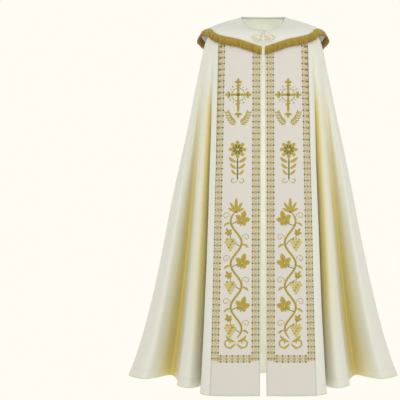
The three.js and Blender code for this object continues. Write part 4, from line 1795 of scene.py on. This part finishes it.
# ------------------------------------------------------------------ the clasp
@dataclass
class Clasp:
    """Two leafy filigree plates with bosses, a hook and a ring, sewn to the hood's front ends."""

    y: float = -126.4
    z: float = -94.0
    tilt: float = 0.3
    gap: float = 9.0
    width: float = 42.0
    height: float = 33.0

    def build(self) -> None:
        """Makes the plates, the bosses, the hook and the ring."""
        material = MetalFinish().build()
        for name, side in (("left", 1), ("right", -1)):
            dress(self.plate(name, side, material), METAL_SLOT, "clasp_plate_" + name)
            dress(self.boss(name, side, material), METAL_SLOT, "clasp_boss_" + name)
        dress(self.ring(material), METAL_SLOT, "clasp_eye")
        dress(self.hook(material), METAL_SLOT, "clasp_hook")

    def place(self) -> Matrix:
        """The clasp's own frame: x to the wearer's left, y up along the hood, z out.

        Returns:
            A matrix in metres.
        """
        up = Vector((0, math.sin(self.tilt), math.cos(self.tilt)))
        side = Vector((1, 0, 0))
        axes = Matrix((side, up, side.cross(up))).transposed().to_4x4()
        return Matrix.Translation(Vector((0, self.y, self.z)) * MM) @ axes

    def finish(self, name: str, bm: bmesh.types.BMesh, material: bpy.types.Material) -> bpy.types.Object:
        """Turns a bmesh in the clasp's frame and in millimetres into a piece.

        Args:
            name: Its name.
            bm: The bmesh, which is freed.
            material: Its material.

        Returns:
            The piece.
        """
        bmesh.ops.transform(bm, matrix=self.place() @ Matrix.Scale(MM, 4), verts=bm.verts)
        mesh = bpy.data.meshes.new(name)
        bm.to_mesh(mesh)
        bm.free()
        return mesh_object(name, mesh, material)

    def plate(self, name: str, side: int, material: bpy.types.Material) -> bpy.types.Object:
        """One half's leaves: five fanned outwards, small ones between, and a scalloped rim of beads.

        Args:
            name: Which half it is.
            side: 1 on the wearer's left, -1 on the right.
            material: Its material.

        Returns:
            The piece.
        """
        bm = bmesh.new()
        centre = side * (self.gap / 2 + self.width / 2)
        outward = 0 if side > 0 else 180
        for k in range(8):
            angle = outward + 45 * k
            long = (self.width if k in (0, 4) else self.height * 1.04) / 2
            self.leaf(bm, (centre, 0), angle, long - 0.8, 8.6, 1.0)
            self.leaf(bm, (centre, 0), angle + 22.5, long * 0.78, 5.0, 1.7)
        for k in range(16):
            angle = 22.5 * k + 11.25
            x = centre + 0.355 * self.width * math.cos(math.radians(angle))
            y = 0.355 * self.height * math.sin(math.radians(angle))
            bead = bmesh.ops.create_icosphere(bm, subdivisions=2, radius=1.15)
            bmesh.ops.translate(bm, vec=(x, y, 1.5), verts=bead["verts"])
        self.leaf(bm, (centre - side * 2, -3), -90 - side * 24, 14.5, 8.0, 2.4)
        for x, y, radius in ((side * 15.5, 3.5, 3.4), (side * 10.5, 9.5, 2.2), (-side * 13, 6.5, 2.0)):
            pearl = bmesh.ops.create_uvsphere(bm, u_segments=18, v_segments=12, radius=radius)
            bmesh.ops.translate(bm, vec=(centre + x, y, 2.6), verts=pearl["verts"])
        return self.finish("clasp_filigree_" + name, bm, material)

    @staticmethod
    def leaf(bm: bmesh.types.BMesh, root: Flat, angle: float, long: float, wide: float, lift: float) -> None:
        """Adds one closed, veined leaf, as a flattened ball drawn out along its angle.

        Args:
            bm: The bmesh that it is added to.
            root: The leaf's foot.
            angle: Its direction in degrees.
            long: Its length.
            wide: Its width.
            lift: Its height off the plate.
        """
        made = bmesh.ops.create_uvsphere(bm, u_segments=16, v_segments=10, radius=1.0)
        c, d = math.cos(math.radians(angle)), math.sin(math.radians(angle))
        for vert in made["verts"]:
            x, y, z = vert.co
            s = (x + 1) / 2
            taper = 0.35 + 0.65 * math.sin(math.pi * min(s * 1.08, 1)) if s < 0.99 else 0.2
            across = y * wide / 2 * taper
            up = z * (1.1 - 0.45 * (1 - abs(y))) + lift + 0.9 * s
            along = s * long
            vert.co = (root[0] + c * along - d * across, root[1] + d * along + c * across, up)

    def boss(self, name: str, side: int, material: bpy.types.Material) -> bpy.types.Object:
        """The flower in the middle of a plate.

        Args:
            name: Which half it is.
            side: 1 on the wearer's left, -1 on the right.
            material: Its material.

        Returns:
            The piece.
        """
        bm = bmesh.new()
        centre = side * (self.gap / 2 + self.width / 2)
        for k in range(6):
            self.leaf(bm, (centre, 0), 60 * k + 30, 5.4, 4.4, 2.9)
        knob = bmesh.ops.create_uvsphere(bm, u_segments=20, v_segments=12, radius=2.3)
        bmesh.ops.translate(bm, vec=(centre, 0, 4.4), verts=knob["verts"])
        return self.finish("clasp_flower_" + name, bm, material)

    def ring(self, material: bpy.types.Material) -> bpy.types.Object:
        """The ring that the hook goes through, on its tongue.

        Args:
            material: Its material.

        Returns:
            The piece.
        """
        bm = bmesh.new()
        self.bent_wire(bm, [polar((0, 0), 15 * k, 3.4) + (3.3,) for k in range(24)], 0.75, closed=True)
        self.bent_wire(bm, [(-3.6, 0, 3.3), (-6, 0, 3.3), (-9, 0, 3.2), (-12.6, 0, 3.1)], 1.3)
        return self.finish("clasp_ring", bm, material)

    def hook(self, material: bpy.types.Material) -> bpy.types.Object:
        """The hook's wire, over the ring's bar and back under it.

        Args:
            material: Its material.

        Returns:
            The piece.
        """
        route = [(12.6, 0, 5.4), (9, 0, 5.5), (6, 0, 5.5), (3, 0, 5.4), (0.6, 0, 4.9), (-0.6, 0, 3.4)]
        route += [(-0.2, 0, 1.9), (1.2, 0, 1.0), (3.2, 0, 1.2)]
        bm = bmesh.new()
        self.bent_wire(bm, route, 1.05)
        return self.finish("clasp_hook_wire", bm, material)

    @staticmethod
    def bent_wire(bm: bmesh.types.BMesh, route: Sequence[Spot], radius: float, closed: bool = False) -> None:
        """Adds a round wire along a route: a circle at each point, bridged into one tube.

        Args:
            bm: The bmesh that it is added to.
            route: Points on the wire's middle.
            radius: The wire's radius.
            closed: Whether its ends meet.
        """
        points = [Vector(p) for p in route]
        count = len(points)
        loops = []
        for k, point in enumerate(points):
            ahead = points[(k + 1) % count] if closed or k + 1 < count else point
            behind = points[k - 1] if closed or k > 0 else point
            facing = (ahead - behind).to_track_quat("Z", "Y").to_matrix().to_4x4()
            turned = Matrix.Translation(point) @ facing
            ends = not closed and k in (0, count - 1)
            circle = bmesh.ops.create_circle(bm, segments=12, radius=radius, cap_ends=ends, matrix=turned)
            loops.append([e for v in circle["verts"] for e in v.link_edges])
        pairs = list(zip(loops, loops[1:])) + ([(loops[-1], loops[0])] if closed else [])
        for a, b in pairs:
            bmesh.ops.bridge_loops(bm, edges=list({*a, *b} & set(bm.edges)))
        bmesh.ops.recalc_face_normals(bm, faces=bm.faces)


# ------------------------------------------------------------------ the stage
@dataclass
class Studio:
    """A pale floor, soft light, and the camera."""

    distance: float = 5.0
    sensor: float = 36.0
    eye_height: float = -0.62
    field_width: float = 1.568
    aside: float = 0.158  # how far right of the middle the garment stands, as a share of the field's width
    middle_height: float = -0.715
    floor_drop: float = 0.05
    floor_radius: float = 30.0
    sky: float = 0.68
    aim: Spot = (0, 0, -0.7)  # where the lamps face
    lamps: tuple[tuple[str, Spot, float, float], ...] = (
        ("key", (-1.2, -3.6, 1.4), 2.2, 35),
        ("fill", (2.4, -3.2, 0.4), 2.6, 26),
        ("back", (1.2, 3.4, 1.4), 2.4, 22),
        ("back_left", (-2.6, 2.6, 0.6), 2.4, 12),
    )  # name, place, width and power
    inner_at: Spot = (0, -0.02, -0.74)
    inner_size: Flat = (0.1, 1.15)
    inner_power: float = 3.0
    white: Rgba = field(default_factory=lambda: srgb(255, 252, 243))

    def build(self) -> None:
        """Sets the floor, the lights, the world and the camera."""
        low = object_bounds()[0]
        self.floor(low.z - self.floor_drop)
        for lamp in self.lamps:
            self.light(*lamp)
        self.inner_light()
        scene = bpy.context.scene
        scene.world = self.surroundings()
        scene.view_settings.view_transform = "Standard"
        self.camera()

    def surroundings(self) -> bpy.types.World:
        """An even sky: plain white behind the garment, and softer where it lights it.

        Returns:
            The world.
        """
        world = bpy.data.worlds.new("studio")
        world.use_nodes = True
        tree = world.node_tree
        shown = tree.nodes["Background"]
        shown.inputs["Color"].default_value = self.white
        lighting = tree.nodes.new("ShaderNodeBackground")
        lighting.inputs["Color"].default_value = srgb(255, 254, 249)
        lighting.inputs["Strength"].default_value = self.sky
        path, mix = tree.nodes.new("ShaderNodeLightPath"), tree.nodes.new("ShaderNodeMixShader")
        tree.links.new(path.outputs["Is Camera Ray"], mix.inputs[0])
        tree.links.new(lighting.outputs[0], mix.inputs[1])
        tree.links.new(shown.outputs[0], mix.inputs[2])
        tree.links.new(mix.outputs[0], tree.nodes["World Output"].inputs["Surface"])
        return world

    def floor(self, z: float) -> None:
        """A wide pale floor whose far parts are as bright as the sky.

        Args:
            z: The floor's height in metres.
        """
        bm = bmesh.new()
        bmesh.ops.create_circle(bm, cap_ends=True, segments=96, radius=self.floor_radius)
        bmesh.ops.translate(bm, vec=(0, 0, z), verts=bm.verts)
        mesh = bpy.data.meshes.new("floor")
        bm.to_mesh(mesh)
        bm.free()
        n = Nodes("floor_paper")
        n.set(Base_Color=srgb(250, 247, 239), Roughness=0.9, Specular_IOR_Level=0.1)
        noise = n.add("ShaderNodeTexNoise", in_Scale=40.0, in_Detail=3.0)
        n.bump(noise.outputs["Fac"], 0.001, 0.1)
        glow = n.add("ShaderNodeEmission", in_Color=self.white, in_Strength=1.0)
        place = n.add("ShaderNodeTexCoord")
        reach = n.add("ShaderNodeVectorMath", operation="LENGTH")
        n.link(place.outputs["Object"], reach.inputs[0])
        far = n.add("ShaderNodeMapRange", interpolation_type="SMOOTHSTEP", in_1=0.2, in_2=1.6)
        n.link(reach.outputs["Value"], far.inputs[0])
        mix = n.add("ShaderNodeMixShader")
        n.link(far.outputs[0], mix.inputs[0])
        n.link(n.shader.outputs[0], mix.inputs[1])
        n.link(glow.outputs[0], mix.inputs[2])
        n.link(mix.outputs[0], n.tree.nodes["Material Output"].inputs["Surface"])
        mesh_object("floor", mesh, n.material)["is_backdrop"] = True

    def inner_light(self) -> None:
        """A tall, narrow lamp inside the garment that brightens the back's inner side behind the slit."""
        data = bpy.data.lights.new("inside", "AREA")
        data.shape = "RECTANGLE"
        data.size, data.size_y = self.inner_size
        data.energy = self.inner_power
        lamp = bpy.data.objects.new("inside", data)
        lamp.location = self.inner_at
        lamp.rotation_euler = (-math.pi / 2, 0, 0)
        lamp.visible_camera = False
        bpy.context.collection.objects.link(lamp)

    def light(self, name: str, at: Spot, size: float, power: float) -> None:
        """A square lamp that faces the garment's middle.

        Args:
            name: The lamp's name.
            at: Its place in metres.
            size: Its width in metres.
            power: Its power in watts.
        """
        data = bpy.data.lights.new(name, "AREA")
        data.size = size
        data.energy = power
        lamp = bpy.data.objects.new(name, data)
        lamp.location = at
        lamp.rotation_euler = (Vector(self.aim) - Vector(at)).to_track_quat("-Z", "Y").to_euler()
        bpy.context.collection.objects.link(lamp)

    def camera(self) -> None:
        """A level camera in front of the garment, shifted so that it stands right of the middle."""
        data = bpy.data.cameras.new("camera")
        data.sensor_width = self.sensor
        data.lens = self.sensor * self.distance / self.field_width
        data.shift_x = -self.aside
        data.shift_y = (self.middle_height - self.eye_height) / self.field_width
        data.clip_end = 100
        camera = bpy.data.objects.new("camera", data)
        camera.location = (0, -self.distance, self.eye_height)
        camera.rotation_euler = (math.pi / 2, 0, 0)
        bpy.context.collection.objects.link(camera)
        bpy.context.scene.camera = camera


IVORY = srgb(224, 225, 216)
# The painted warm shade deep in the cloak's and the hood's folds.
OLIVE_SHADE = srgb(222, 203, 90)
CLOAK_CLOTH = ClothFinish("ivory_cloth", IVORY, OLIVE_SHADE, 0.95, 0.78, 0.0007)
HOOD_CLOTH = ClothFinish("ivory_hood_cloth", IVORY, OLIVE_SHADE, 0.5, 0.78, 0.0007)
# The band cloth's second colour is the painted shade along its sewn edges.
BAND_CLOTH = ClothFinish("band_cloth", srgb(213, 209, 201), srgb(186, 178, 150), 0.6, 0.7, 0.0005, 0.2)
IVORY_THREAD = ThreadFinish(
    "ivory_thread", srgb(226, 222, 202), srgb(206, 198, 168), srgb(180, 172, 140), 0.0009, 0.6, 0.0
)
GOLD_THREAD = ThreadFinish("gold_thread", srgb(216, 200, 104), srgb(190, 166, 58), srgb(118, 112, 46), 0.0009)


def stitch(cloth: ClothMap, bands: FrontBands, hood: Hood) -> None:
    """Sews the hem, the edges of the bands and the hood's neckline.

    Args:
        cloth: The cloak's cloth.
        bands: The front bands.
        hood: The hood.
    """
    drape = cloth.drape
    work = Stitching(IVORY_THREAD.build())
    hem = 1 - Cloak.hem_depth
    work.row(cloth.grid(drape.even_places(0, drape.last, 6.0), np.array([hem, hem + 0.004]), 0.0), 0.35)
    shares = np.linspace(0.2, 0.995, 220)
    for place in (0.035, drape.place_of["band edge"] - 0.03):
        for first in (place, drape.last - place - 0.01):
            strip = cloth.grid(np.array([first, first + 0.01]), shares, bands.out)
            work.row(strip.transpose(1, 0, 2)[:, ::-1], 0.4 * bands.thickness)
    place, share = np.meshgrid(hood.even_places(5.0), (0.04, 0.06), indexing="ij")
    work.row(hood.points(place, share), hood.thickness / 2)
    work.build()


def embroider(bands: FrontBands, hood: Hood) -> None:
    """Sews the ornament on the front bands and on the hood's band.

    Args:
        bands: The front bands.
        hood: The hood.
    """
    thread = GOLD_THREAD.build()
    for side, tree, piece in ((-1, bands.trees[0], "right"), (1, bands.trees[1], "left")):
        work = Embroidery("embroidery_" + piece, tree, True, thread)
        BandOrnament().sew(work, side)
        work.build()
    work = Embroidery("embroidery_hood", hood.tree, False, thread)
    HoodOrnament().sew(work)
    work.build()


def main() -> None:
    """Builds the cope piece by piece and the studio round it."""
    logging.basicConfig(level=logging.INFO, format="%(name)s: %(message)s")
    drape = Drape(FOLD_LINES)
    cloth = ClothMap(drape)
    Cloak(cloth, CLOAK_CLOTH).build()
    bands = FrontBands(cloth, BAND_CLOTH)
    bands.build()
    hood = Hood(cloth, HOOD_CLOTH, BAND_CLOTH)
    hood.build()
    Fringe(hood).build()
    stitch(cloth, bands, hood)
    embroider(bands, hood)
    Clasp().build()
    Studio().build()


if __name__ == "__main__":
    main()
